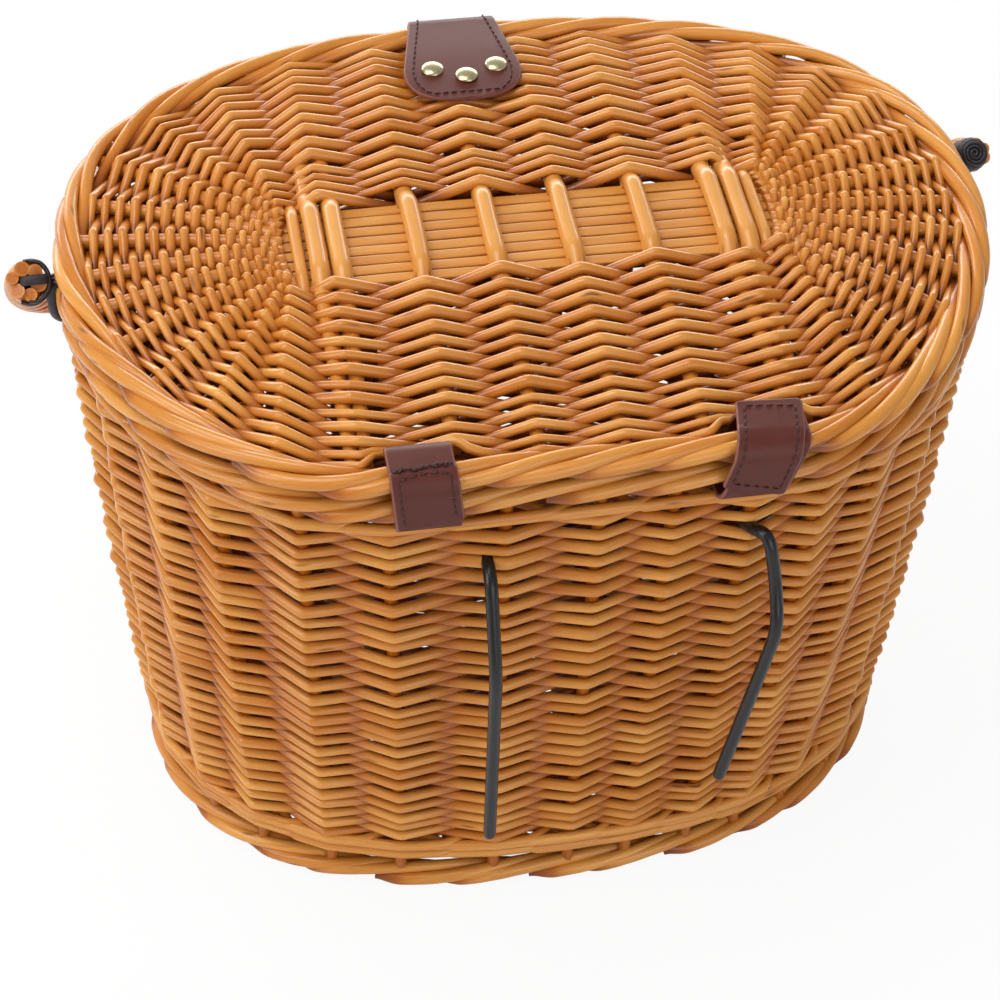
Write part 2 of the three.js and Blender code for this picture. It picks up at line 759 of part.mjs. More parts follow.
// The flap: leather laid on the weave, over the border and a little way down.
function closureFlap() {
  const start = lidFrontDepth - flapLength;
  const edge = lidFrontDepth - 2 * borderRadius - seatGap;
  const inner = [];
  for (let i = 0; i <= flapSteps; i++) {
    const y = start + ((edge - start) * i) / flapSteps;
    inner.push([y, lidTop(y).z + seatGap]);
  }
  const round = borderRadius + seatGap;
  for (let i = 1; i <= flapSteps; i++) {
    const angle = flapTurnShare * Math.PI * (1 - i / flapSteps);
    inner.push([frontBorderY + round * Math.cos(angle), lidBorderHeight + round * Math.sin(angle)]);
  }
  inner.push([frontBorderY + round, lidBorderHeight - flapDrop]);
  const outer = inner.map(([y, z], i) => {
    const before = inner[Math.max(0, i - 1)];
    const after = inner[Math.min(inner.length - 1, i + 1)];
    const length = Math.hypot(after[0] - before[0], after[1] - before[1]);
    return [
      y - (flapLeather * (after[1] - before[1])) / length,
      z + (flapLeather * (after[0] - before[0])) / length,
    ];
  });
  const profile = new THREE.Shape([...inner, ...outer.reverse()].map(([y, z]) => new THREE.Vector2(y, z)));
  const width = flapWideWidth;
  const band = extrude(profile, width, 1).applyMatrix4(alongX).translate(-width / 2, 0, 0);
  const plan = new THREE.Shape();
  const wideY = lidFrontDepth - flapWideReach;
  const frontY = lidFrontDepth + borderRadius;
  plan.moveTo(flapFoldWidth / 2, frontY);
  plan.lineTo(-flapFoldWidth / 2, frontY);
  plan.lineTo(-flapFoldWidth / 2, frontBorderY - borderRadius);
  plan.lineTo(-flapWideWidth / 2, wideY);
  plan.quadraticCurveTo(-flapWideWidth / 2, start, -flapEndWidth / 2, start);
  plan.lineTo(flapEndWidth / 2, start);
  plan.quadraticCurveTo(flapWideWidth / 2, start, flapWideWidth / 2, wideY);
  plan.lineTo(flapFoldWidth / 2, frontBorderY - borderRadius);
  plan.closePath();
  const prism = extrude(plan, 2 * lidDepth + 2 * borderRadius, 6);
  prism.translate(0, 0, lidBorderHeight - flapDrop - borderRadius);
  const drills = wasm.Manifold.union(rivetPlaces().map(rivetDrill)).translate([-flapX, 0, 0]);
  return fromManifold(toManifold(band).intersect(toManifold(prism)).subtract(drills));
}

// The tongue hangs down from its fold; the fold is the origin.
function closureTongue() {
  const shape = new THREE.Shape();
  const w = tongueWidth / 2;
  const end = tongueLength;
  shape.moveTo(-w, 0);
  shape.lineTo(-w, tongueEndRadius - end);
  shape.quadraticCurveTo(-w, -end, tongueEndRadius - w, -end);
  shape.lineTo(w - tongueEndRadius, -end);
  shape.quadraticCurveTo(w, -end, w, tongueEndRadius - end);
  shape.lineTo(w, 0);
  shape.closePath();
  shape.holes.push(slotPath());
  const leaf = toManifold(upright(extrude(shape, flapLeather, 4)));
  const fold = bar([-w, 0, 0], 'x', tongueWidth, flapLeather / 2, 10);
  const drills = [-1, 1].map((side) => (
    bar([side * plateRivetX, -flapLeather, -tongueSlotReach], 'y', 2 * flapLeather,
      plateRivet.shankRadius + seatGap, drillSides)));
  return fromManifold(leaf.add(fold).subtract(wasm.Manifold.union(drills)));
}

// Stands a sheet drawn in X and Y upright in X and Z, its middle plane at y = 0.
function upright(geometry) {
  geometry.rotateX(Math.PI / 2);
  geometry.computeBoundingBox();
  const { min, max } = geometry.boundingBox;
  return geometry.translate(0, -(min.y + max.y) / 2, 0);
}

function slotPath() {
  const hole = new THREE.Path();
  const w = slotLength / 2;
  const h = slotHeight / 2;
  hole.moveTo(-w, -tongueSlotReach - h);
  hole.lineTo(-w, -tongueSlotReach + h);
  hole.lineTo(w, -tongueSlotReach + h);
  hole.lineTo(w, -tongueSlotReach - h);
  hole.closePath();
  return hole;
}

const plateRivetX = slotLength / 2 + slotFrame - plateRivet.shankRadius;

function tonguePlate() {
  const width = slotLength + 3 * slotFrame;
  const height = slotHeight + 2 * slotFrame;
  const shape = roundedRectangle(width, height, cornerRadius, -tongueSlotReach);
  shape.holes.push(slotPath());
  const plate = toManifold(upright(extrude(shape, plateThickness, 3)));
  const drills = [-1, 1].map((side) => (
    bar([side * plateRivetX, -flapLeather, -tongueSlotReach], 'y', 2 * flapLeather,
      plateRivet.shankRadius + seatGap, drillSides)));
  const out = flapLeather / 2 + plateThickness / 2;
  return fromManifold(plate.subtract(wasm.Manifold.union(drills)).translate([0, out + seatGap / 2, 0]));
}

// Lock on the front wall

const frontLean = Math.atan((lidFrontDepth - footHalfDepth) / (rimBorderHeight - footBorderHeight));

// The head clears the tongue and its plate when the tongue is pressed home.
const closedTongue = flapLeather + plateThickness + seatGap;
const buttonHeadHeight = 2 * lockPlateThickness + closedTongue + 2 * buttonStemGap;

// The button stands where the slot's middle comes when the tongue is pressed home.
const foldHeight = lidBorderHeight - flapDrop - seatGap - flapLeather / 2;
const slotDrop = tongueSlotReach * Math.cos(THREE.MathUtils.degToRad(tongueClosedAngle));
const lockHeight = foldHeight - slotDrop + buttonHeadHeight * Math.sin(frontLean);
const lockFaceY = wallFace(flapX, lockHeight, 1, wallInset - wallRibHeight - wallBelly) + seatGap;
const lockRivetSides = [-1, 1];
const lockRivetX = buttonLength / 2 + plateRivet.headRadius;
const lockTurn = -Math.PI / 2 - frontLean;

function lockDrill(side) {
  const hole = drill(plateRivet.shankRadius + seatGap, 4 * wallThickness);
  hole.translate(side * lockRivetX, 0, 0).rotateX(lockTurn);
  return toManifold(indexed(hole.translate(flapX, lockFaceY, lockHeight)));
}

function drilledSheet(width, height, thickness, holes) {
  const drills = holes.map(([x, radius]) => {
    const hole = drill(radius, 4 * thickness).translate(x, 0, 0);
    return toManifold(indexed(hole));
  });
  return fromManifold(toManifold(sheet(width, height, cornerRadius, thickness))
    .subtract(wasm.Manifold.union(drills)));
}

const lockHoles = [
  ...lockRivetSides.map((side) => [side * lockRivetX, plateRivet.shankRadius + seatGap]),
  [0, buttonStemRadius + seatGap],
];


function turnButton() {
  const head = buttonHeadHeight;
  const stem = bar([0, 0, 0], 'z', head + buttonThickness / 2, buttonStemRadius, drillSides);
  const grip = toManifold(sheet(buttonLength, buttonWidth, buttonWidth / 3, buttonThickness));
  return fromManifold(stem.add(grip.translate([0, 0, head])));
}

// Carry handle

// The handle in its own plane: X across, Y out from the pivots.
function carryHandle() {
  const dense = [];
  for (let i = 0; i <= curveSamples; i++) {
    const angle = (Math.PI * i) / curveSamples;
    const c = Math.cos(angle);
    dense.push([
      handleHalfSpan * Math.sign(c) * Math.pow(Math.abs(c), 2 / handlePower),
      handleReach * Math.pow(Math.abs(Math.sin(angle)), 2 / handlePower),
      0,
    ]);
  }
  const line = [[handleHalfSpan, -handleStub, 0], ...dense, [-handleHalfSpan, -handleStub, 0]];
  const path = [...resample(line, handleSteps), line[line.length - 1]];
  const radiusAt = bundle(handleRadius, handleLobes, handleLobeDepth, handleTurns);
  const cuts = [];
  for (const side of [-1, 1]) {
    const outside = -handleStub - handleRadius;
    const depth = handleBoreDepth + handleRadius;
    cuts.push(bar([side * handleHalfSpan, outside, 0], 'y', depth, handleBore, drillSides));
    cuts.push(bar([side * handleHalfSpan - 2 * handleRadius, 0, 0], 'x', 4 * handleRadius,
      cordRadius + cordGap, drillSides));
  }
  const rods = toManifold(sweep(path, false, radiusAt, 2 * handleLobes));
  return fromManifold(rods.subtract(wasm.Manifold.union(cuts)));
}

// Replaces the corners of a line by short curves.
function rounded(points, radius, closed) {
  const count = points.length;
  const line = closed ? [] : [points[0]];
  const first = closed ? 0 : 1;
  const last = closed ? count : count - 1;
  for (let i = first; i < last; i++) {
    const corner = new THREE.Vector3(...points[i]);
    const before = new THREE.Vector3(...points[(i + count - 1) % count]);
    const after = new THREE.Vector3(...points[(i + 1) % count]);
    const back = Math.min(radius, corner.distanceTo(before) / 2);
    const ahead = Math.min(radius, corner.distanceTo(after) / 2);
    const start = corner.clone().addScaledVector(before.sub(corner).normalize(), back);
    const end = corner.clone().addScaledVector(after.sub(corner).normalize(), ahead);
    const curve = new THREE.QuadraticBezierCurve3(start, corner, end);
    for (const point of curve.getPoints(cornerSteps)) line.push(point.toArray());
  }
  if (!closed) line.push(points[count - 1]);
  return line;
}

// A cord tie: through the handle's end, through the rim border, down inside the
// wall and back out under the handle, with its knot outside.
function handleTie(side) {
  const outer = handleHalfSpan + handleRadius + cordRadius + cordGap;
  const rimFace = handleHalfSpan - handleRadius - handleSideGap;
  const inner = rimFace - 2 * borderRadius - cordInnerReach;
  const loop = [
    [side * outer, 0, cordHigh],
    [side * outer, 0, cordLow],
    [side * inner, 0, cordLow],
    [side * inner, 0, cordHigh],
  ];
  const tube = toManifold(sweep(rounded(loop, cordCorner, true), true, () => cordRadius, cordSides));
  const knot = new THREE.SphereGeometry(knotRadius, knotSides, knotSides / 2);
  knot.translate(side * (outer + cordRadius), 0, (cordHigh + cordLow) / 2);
  const tie = fromManifold(tube.add(toManifold(indexed(knot))));
  return tie.rotateZ(handleYaw).translate(...handleMiddle, 0);
}

// Hook bracket

function hookBracket() {
  const leftWall = rearWallAt(leftHookX, leftHookHeight);
  const rightWall = rearWallAt(rightHookX, rightHookHeight);
  const insideY = Math.max(leftWall, rightWall) + wallThickness + hookBarInset + hookRadius;
  const outY = Math.min(leftWall, rightWall) - hookStand;
  const nearY = rightWall - 3 * hookRadius;
  const bendY = outY + hookStand * (1 - bendStandShare);
  const line = [
    [leftHookX, outY, leftHookHeight - leftLegDrop],
    [leftHookX, outY, leftHookHeight - leftKneeDrop],
    [leftHookX, leftWall - 3 * hookRadius, leftHookHeight],
    [leftHookX, insideY, leftHookHeight],
    [rightHookX, insideY, rightHookHeight],
    [rightHookX, nearY, rightHookHeight],
    [rightHookX + rightOffset * riseOffsetShare, nearY - hookRadius, rightHookHeight + rightRise],
    [rightHookX + rightOffset, bendY, rightHookHeight - rightKneeDrop / 2],
    [rightHookX + rightOffset, outY, rightHookHeight - rightKneeDrop],
    [rightHookX + rightOffset - rightLean, outY, rightHookHeight - rightLegDrop],
  ];
  return sweep(rounded(line, 2 * hookRadius, false), false, () => hookRadius, hookSides);
}

// Assembly

const assembly = new THREE.Group();
const basket = new THREE.Group();
const lid = new THREE.Group();
assembly.add(basket, lid);

basket.add(
  named('side_wall', sideWall(), willow),
  named('rim_border', rimBorder(), willow),
  named('foot_border', footBorder(), willow),
  named('base_panel', basePanel(), willow),
  named('hook_bracket', hookBracket(), coated),
  named('handle_tie_left', handleTie(-1), cord),
  named('handle_tie_right', handleTie(1), cord),
);
stickRow(stickPitch).forEach((x, i) => {
  const [rear, front] = baseStickEnds(x);
  const rod = new THREE.CylinderGeometry(baseStickRadius, baseStickRadius, front - rear, stickSides);
  const stick = named(`base_stick_${i + 1}`, indexed(rod), paleWillow);
  stick.position.set(x, (front + rear) / 2, baseHeight() + baseThickness);
  basket.add(stick);
});
for (const [name, x] of [['hinge_strap_left', strapLeftX], ['hinge_strap_right', strapRightX]]) {
  const strap = named(name, hingeStrap(), leather);
  strap.position.x = x;
  basket.add(strap);
}

const lock = new THREE.Group();
lock.position.set(flapX, lockFaceY, lockHeight);
lock.rotation.x = lockTurn;
const backingSheet = drilledSheet(backingWidth, backingHeight, backingLeather, lockHoles);
const plateSheet = drilledSheet(lockPlateWidth, lockPlateHeight, lockPlateThickness, lockHoles);
const backing = named('lock_backing', backingSheet, leather);
const plate = named('lock_plate', plateSheet, brass);
plate.position.z = backingLeather + seatGap;
const lockTop = backingLeather + seatGap + lockPlateThickness;
const button = named('turn_button', turnButton(), brass);
button.position.z = backingLeather + 2 * seatGap;
lock.add(backing, plate, button);
lockRivetSides.forEach((side, i) => {
  const shank = lockTop + 2 * seatGap + wallRibHeight + wallBelly + wallThickness + wallBelly + seatGap;
  const pin = named(`lock_rivet_${i + 1}`, rivet(plateRivet, shank), brass);
  pin.position.set(side * lockRivetX, 0, lockTop + seatGap);
  lock.add(pin);
});
basket.add(lock);

lid.add(
  named('lid_border', border(rimFront, rimRear, lidBorderHeight, borderSteps), willow),
  named('lid_weave', lidWeave(), willow),
);
const lathWidth = (panelDepth - (lathCount - 1) * lathGap) / lathCount;
const lathLength = 2 * (outerStickX - outerStickStep);
for (let i = 0; i < lathCount; i++) {
  const strip = named(`lid_lath_${i + 1}`, lath(lathWidth, lathLength), paleWillow);
  strip.position.set(0, (i - (lathCount - 1) / 2) * (lathWidth + lathGap), (lathBottom + lathTop) / 2);
  lid.add(strip);
}
lidSticks().forEach(({ x, radius, z }, i) => {
  const geometry = indexed(new THREE.CylinderGeometry(radius, radius, 2 * stickHalfLength, stickSides));
  const stick = named(`lid_stick_${i + 1}`, geometry, paleWillow);
  stick.position.set(x, 0, z);
  lid.add(stick);
});
const flap = named('closure_flap', closureFlap(), leather);
flap.position.x = flapX;
lid.add(flap);
rivetPlaces().forEach(({ x, y, z, tilt }, i) => {
  const shank = flapLeather + 3 * seatGap + lidDepth;
  const pin = named(`flap_rivet_${i + 1}`, rivet(flapRivet, shank), brass);
  const lift = flapLeather + 2 * seatGap;
  pin.position.set(x, y + lift * Math.sin(tilt), z + lift * Math.cos(tilt));
  pin.rotation.x = -tilt;
  lid.add(pin);
});

const tongue = new THREE.Group();
tongue.position.set(
  flapX,
  frontBorderY + borderRadius + seatGap + flapLeather / 2,
  foldHeight,
);
tongue.rotation.x = THREE.MathUtils.degToRad(tongueRestAngle);
tongue.add(named('closure_tongue', closureTongue(), leather), named('tongue_plate', tonguePlate(), brass));
[-1, 1].forEach((side, i) => {
  const shank = flapLeather + plateThickness + seatGap;
  const pin = named(`tongue_rivet_${i + 1}`, rivet(plateRivet, shank), brass);
  pin.position.set(side * plateRivetX, flapLeather / 2 + plateThickness + seatGap, -tongueSlotReach);
  pin.rotation.x = -Math.PI / 2;
  tongue.add(pin);
});
lid.add(tongue);

const handle = named('carry_handle', carryHandle(), paleWillow);
handle.position.set(...handleMiddle, cordHigh);
handle.rotation.set(THREE.MathUtils.degToRad(handleRestAngle), 0, handleYaw, 'ZYX');
assembly.add(handle);

// The whole part stands over the middle of its own outline.
assembly.updateMatrixWorld(true);
const extent = new THREE.Box3().setFromObject(assembly, true);
assembly.position.y = -(extent.min.y + extent.max.y) / 2;
assembly.position.x = -(extent.min.x + extent.max.x) / 2;
assembly.updateMatrixWorld(true);

export default assembly;
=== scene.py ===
"""Looks of the lidded willow handlebar basket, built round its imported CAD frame.

Every willow rod is a tube along a worked-out path: the wall and the lid are woven over
stakes, the borders are rolled rods, and the handle is a twisted bundle round a hollow.
Lengths are metres and +Z is up. Pieces are worked out about the basket's own upright
axis, with the rider's side at -Y, and moved to the CAD frame when their mesh is made.
"""

import logging
import math
from dataclasses import dataclass
from enum import Enum

import bpy
import numpy as np
from mathutils import Matrix, Vector


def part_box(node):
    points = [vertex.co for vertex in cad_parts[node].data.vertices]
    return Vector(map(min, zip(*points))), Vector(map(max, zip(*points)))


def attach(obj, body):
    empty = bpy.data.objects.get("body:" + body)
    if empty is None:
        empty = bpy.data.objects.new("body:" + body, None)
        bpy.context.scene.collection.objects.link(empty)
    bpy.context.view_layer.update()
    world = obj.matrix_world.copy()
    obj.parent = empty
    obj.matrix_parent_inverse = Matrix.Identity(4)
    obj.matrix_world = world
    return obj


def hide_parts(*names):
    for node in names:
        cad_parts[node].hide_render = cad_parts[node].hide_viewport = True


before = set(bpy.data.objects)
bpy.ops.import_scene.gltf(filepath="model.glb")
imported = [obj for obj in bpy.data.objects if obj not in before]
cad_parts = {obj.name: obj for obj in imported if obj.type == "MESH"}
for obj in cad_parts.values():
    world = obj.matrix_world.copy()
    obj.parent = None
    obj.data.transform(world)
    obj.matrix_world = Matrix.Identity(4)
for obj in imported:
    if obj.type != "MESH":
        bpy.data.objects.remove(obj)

logging.basicConfig(level=logging.INFO, format="%(message)s")
LOG = logging.getLogger("basket")

Array = np.ndarray
Triple = tuple[float, float, float]
Names = tuple[str, ...]
Thing, Material = bpy.types.Object, bpy.types.Material
Tree, Node, Socket = bpy.types.NodeTree, bpy.types.Node, bpy.types.NodeSocket
MM = 0.001
UP = np.array([0.0, 0.0, 1.0])


class Body(Enum):
    """The moving bodies of the CAD frame."""

    BASKET = "basket"
    LID = "lid"
    TONGUE = "tongue"
    BUTTON = "button"
    HANDLE = "handle"


class Slot(Enum):
    """The record's material slots."""

    WILLOW = "willow"
    PEELED = "peeled_willow"
    LEATHER = "leather"
    BRASS = "brass"
    COATED = "coated_steel"
    CORD = "cord"


# Array geometry


def unit(vectors: Array) -> Array:
    """Vectors scaled to length one along the last axis."""
    return vectors / np.maximum(np.linalg.norm(vectors, axis=-1, keepdims=True), 1e-12)


def smooth_step(values: Array, low: float, high: float) -> Array:
    """Rises from 0 at low to 1 at high as 3t^2 - 2t^3."""
    share = np.clip((values - low) / (high - low), 0.0, 1.0)
    return share * share * (3.0 - 2.0 * share)


def grid_faces(rows: int, columns: int) -> Array:
    """Quads between rows of points, each row a closed ring.

    Args:
        rows: Number of rows of points.
        columns: Points in each row.

    Returns:
        Vertex numbers of each quad, wound so that a ring turning with the right hand
        about the direction of growing row number faces outwards.
    """
    row = np.arange(rows - 1)[:, None]
    column = np.arange(columns)[None, :]
    after = (column + 1) % columns
    low = row * columns
    high = (row + 1) * columns
    corners = [low + column, low + after, high + after, high + column]
    return np.stack(np.broadcast_arrays(*corners), -1).reshape(-1, 4)


@dataclass
class Surface:
    """Points, faces and the values that a finish reads, before they become a mesh."""

    points: Array
    quads: Array
    triangles: Array
    place: Array
    look: Array

    def joined(self, other: "Surface") -> "Surface":
        """Both surfaces as one, with the other's points numbered after these."""
        count = len(self.points)
        return Surface(
            np.concatenate([self.points, other.points]),
            np.concatenate([self.quads, other.quads + count]),
            np.concatenate([self.triangles, other.triangles + count]),
            np.concatenate([self.place, other.place]),
            np.concatenate([self.look, other.look]),
        )

    def mesh_object(self, name: str, shift: Array) -> Thing:
        """Makes a mesh object at the origin, with its place in its mesh.

        The quads are smooth and the triangles, which close the ends, are flat.

        Args:
            name: Name of the new object.
            shift: Where the basket's axis stands in the CAD frame.

        Returns:
            The linked object.
        """
        mesh = bpy.data.meshes.new(name)
        mesh.vertices.add(len(self.points))
        mesh.vertices.foreach_set("co", (self.points + shift).astype(np.float32).ravel())
        loops = np.concatenate([self.quads.ravel(), self.triangles.ravel()])
        sizes = np.concatenate([np.full(len(self.quads), 4), np.full(len(self.triangles), 3)])
        mesh.loops.add(len(loops))
        mesh.loops.foreach_set("vertex_index", loops.astype(np.int32))
        mesh.polygons.add(len(sizes))
        starts = np.concatenate([[0], np.cumsum(sizes)[:-1]])
        mesh.polygons.foreach_set("loop_start", starts.astype(np.int32))
        mesh.polygons.foreach_set("use_smooth", sizes == 4)
        mesh.update(calc_edges=True)
        for title, values in (("rod_place", self.place), ("rod_look", self.look)):
            layer = mesh.attributes.new(title, "FLOAT_VECTOR", "POINT")
            layer.data.foreach_set("vector", values.astype(np.float32).ravel())
        mesh.validate()
        obj = bpy.data.objects.new(name, mesh)
        bpy.context.scene.collection.objects.link(obj)
        return obj


def closed_rings(rings: Array, place: Array, look: Array, cut: float = 1.0) -> Surface:
    """Skins many rods given as rings of points, and closes both ends of each.

    Args:
        rings: Points of shape (rods, steps, sides, 3), each ring turning with the
            right hand about the way along its rod.
        place: Metres along, across and above, of the rings' shape.
        look: Tone, shade and cut-end values, of the rings' shape.
        cut: Cut-end value at the middle of each end.

    Returns:
        One surface that holds every rod.
    """
    rods, steps, sides, _ = rings.shape
    ends = rings[:, [0, -1]].mean(axis=2)
    end_place = place[:, [0, -1]].mean(axis=2)
    end_look = look[:, [0, -1], 0].copy()
    end_look[..., 2] = cut
    start = (np.arange(rods) * steps * sides)[:, None]
    quads = (grid_faces(steps, sides)[None] + start[..., None]).reshape(-1, 4)
    column = np.arange(sides)[None, :]
    after = (column + 1) % sides
    tip = rods * steps * sides + 2 * np.arange(rods)[:, None]
    last = start + (steps - 1) * sides
    low = np.stack(np.broadcast_arrays(tip, start + after, start + column), -1)
    high = np.stack(np.broadcast_arrays(tip + 1, last + column, last + after), -1)
    return Surface(
        np.concatenate([rings.reshape(-1, 3), ends.reshape(-1, 3)]),
        quads,
        np.concatenate([low.reshape(-1, 3), high.reshape(-1, 3)]),
        np.concatenate([place.reshape(-1, 3), end_place.reshape(-1, 3)]),
        np.concatenate([look.reshape(-1, 3), end_look.reshape(-1, 3)]),
    )


def tubes(
    paths: Array, radii: Array, sides: int, reference: Array, looks: Array, flatness: float = 1.0
) -> Surface:
    """Round rods along many paths at once, with flat cut ends.

    A ring of a rod is its path's point plus the radius times (cos a, f sin a) in the two
    directions square to the path; the first is square to the reference as well, and f is
    the flatness.

    Args:
        paths: Points of shape (rods, steps, 3).
        radii: Radius at each step; it broadcasts to (rods, steps).
        sides: Points in each ring.
        reference: Directions that are nowhere along a path; they broadcast to the paths.
        looks: Tone, shade and cut-end values of shape (rods, steps, 3).
        flatness: Height of the section over its width.

    Returns:
        One surface that holds every rod.
    """
    rods, steps, _ = paths.shape
    radii = np.broadcast_to(radii, (rods, steps))
    tangent = unit(np.gradient(paths, axis=1))
    side = unit(np.cross(tangent, np.broadcast_to(reference, paths.shape)))
    up = np.cross(side, tangent)
    angle = -2.0 * np.pi * np.arange(sides) / sides
    across = radii[..., None] * np.cos(angle)
    above = radii[..., None] * np.sin(angle) * flatness
    rings = paths[:, :, None, :] + across[..., None] * side[:, :, None, :]
    rings = rings + above[..., None] * up[:, :, None, :]
    length = np.linalg.norm(np.diff(paths, axis=1), axis=-1)
    along = np.concatenate([np.zeros((rods, 1)), np.cumsum(length, axis=1)], axis=1)
    along = along + 0.37 * np.arange(rods)[:, None]
    place = np.stack(np.broadcast_arrays(along[..., None], across, above), -1)
    return closed_rings(rings, place, np.broadcast_to(looks[:, :, None, :], rings.shape))


def leather_band(
    path: Array, half_widths: Array, thickness: float, across: Array, tone: float = 0.0
) -> Surface:
    """A leather strip along a path, flat across and round at both edges.

    Across the strip a point stands at f (w - t/2) along the width, plus t/2 (cos a) at an
    edge, and at t/2 or t/2 (sin a) along the normal, which is across times the path's
    direction.

    Args:
        path: Middle line of shape (steps, 3).
        half_widths: Half width w at each step.
        thickness: Thickness t.
        across: Direction of the width, square to the path; it broadcasts to the path.
        tone: Tone value of the strip.

    Returns:
        The strip's surface; its cut-end value is 1 on the edges, where the leather paints a pale
        highlight.
    """
    edge = thickness / 2
    share = np.linspace(-1, 1, 13)
    turn = np.radians([65.0, 32.0, 0.0, -32.0, -65.0])
    ones = np.ones(len(turn))
    flat = np.zeros(len(share))
    inner = np.concatenate([share, ones, share[::-1], -ones])
    outer = np.concatenate([flat, np.cos(turn), flat, -np.cos(turn)]) * edge
    rise = np.concatenate([flat + 1, np.sin(turn), flat - 1, np.sin(turn[::-1])]) * edge
    # Mask of the rounded edges, which the leather's colour turns pale as a painted highlight.
    rim = np.concatenate([flat, ones, flat, ones])
    tangent = unit(np.gradient(path, axis=0))
    across = np.broadcast_to(across, path.shape)
    normal = unit(np.cross(across, tangent))
    wide = inner * np.maximum(half_widths - edge, 0)[:, None] + outer
    rings = path[:, None] + wide[..., None] * across[:, None] + rise[:, None] * normal[:, None]
    place = np.stack(np.broadcast_arrays(run_length(path)[:, None], wide, rise), -1)
    look = np.stack(np.broadcast_arrays(np.full_like(wide, tone), 0.0, rim), -1)
    return closed_rings(rings[None], place[None], look[None])


def plain_looks(rods: int, steps: int, dice: np.random.Generator, shade: float = 0.0) -> Array:
    """A random tone for each rod, an even painted shade and no cut ends.

    Args:
        rods: Number of rods.
        steps: Steps along each rod.
        dice: Source of random numbers.
        shade: Painted shade value.

    Returns:
        Values of shape (rods, steps, 3).
    """
    looks = np.zeros((rods, steps, 3))
    looks[..., 0] = dice.random((rods, 1))
    looks[..., 1] = shade
    return looks


def rounded_line(corners: Array, radius: float, arc_steps: int = 10) -> Array:
    """Replaces the inner corners of an open line by parabolic bends.

    A bend runs from a point a radius before its corner to a point a radius after it, as
    (1-t)^2 start + 2t(1-t) corner + t^2 end.

    Args:
        corners: Points of shape (count, dimensions).
        radius: Distance from a corner to either end of its bend.
        arc_steps: Points on each bend.

    Returns:
        The bent line's points.
    """
    middle = corners[1:-1]
    before = corners[:-2] - middle
    after = corners[2:] - middle
    reach_in = np.minimum(radius, np.linalg.norm(before, axis=1) / 2)[:, None]
    reach_out = np.minimum(radius, np.linalg.norm(after, axis=1) / 2)[:, None]
    start = (middle + unit(before) * reach_in)[:, None]
    end = (middle + unit(after) * reach_out)[:, None]
    t = np.linspace(0, 1, arc_steps)[None, :, None]
    bends = (1 - t) ** 2 * start + 2 * t * (1 - t) * middle[:, None] + t**2 * end
    return np.concatenate([corners[:1], bends.reshape(-1, corners.shape[1]), corners[-1:]])


def run_length(line: Array) -> Array:
    """Length along an open line from its start to each of its points."""
    return np.concatenate([[0], np.cumsum(np.linalg.norm(np.diff(line, axis=0), axis=1))])


def read_along(line: Array, length: Array, target: Array) -> Array:
    """Points of a line at given lengths, read straight between its own points."""
    return np.stack([np.interp(target, length, axis) for axis in line.T], 1)


def resampled(line: Array, count: int) -> Array:
    """A wanted count of points along an open line, at equal steps of length."""
    length = run_length(line)
    keep = np.concatenate([[True], np.diff(length) > 1e-9])
    return read_along(line[keep], length[keep], np.linspace(0, length[-1], count))


# Plan outlines


@dataclass(frozen=True)
class Oval:
    """A closed plan outline: a superellipse each side of a straight middle stretch."""

    half_length: float
    front_depth: float
    rear_depth: float
    front_straight: float
    rear_straight: float
    front_power: float
    rear_power: float

    def half(self, depth: float, straight: float, power: float, samples: int) -> Array:
        """One half from +X to -X: x is s + (L - s) sin^(2/p) a and y is depth cos^(2/p) a.

        Args:
            depth: Depth of the half, negative for the rear.
            straight: Half length s of its straight stretch.
            power: Power p of the superellipse.
            samples: Points on each quarter.

        Returns:
            Points along the half, where L is the oval's half length.
        """
        turn = np.linspace(np.pi / 2, 0, samples)
        x = straight + (self.half_length - straight) * np.sin(turn) ** (2 / power)
        y = depth * np.clip(np.cos(turn), 0, 1) ** (2 / power)
        quarter = np.stack([x, y], 1)
        return np.concatenate([quarter, quarter[::-1] * [-1, 1]])

    def points(self, samples: int = 600) -> Array:
        """Anticlockwise points from +X, half of them along the front.

        Args:
            samples: Points on each half.

        Returns:
            Points of shape (2 samples, 2), evenly spaced along each half.
        """
        front = self.half(self.front_depth, self.front_straight, self.front_power, samples)
        rear = self.half(-self.rear_depth, self.rear_straight, self.rear_power, samples)
        front = resampled(front, samples + 1)[:-1]
        rear = resampled(rear[::-1], samples + 1)[:-1]
        return np.concatenate([front, rear])


RIM = Oval(0.200, 0.150, 0.143, 0.0, 0.086, 2.44, 1.71)
FOOT = Oval(0.178, 0.132, 0.132, 0.0, 0.0, 2.4, 2.4)


@dataclass(frozen=True)
class Levels:
    """Heights and set-backs in metres, as the CAD has them."""

    lid_border: float = 0.280
    rim_border: float = 0.2665
    foot_border: float = 0.0056
    border_radius: float = 0.0065
    wall_bottom: float = 0.0211
    lid_rise: float = 0.005
    rear_border_y: float = -0.1365
    front_border_y: float = 0.1435


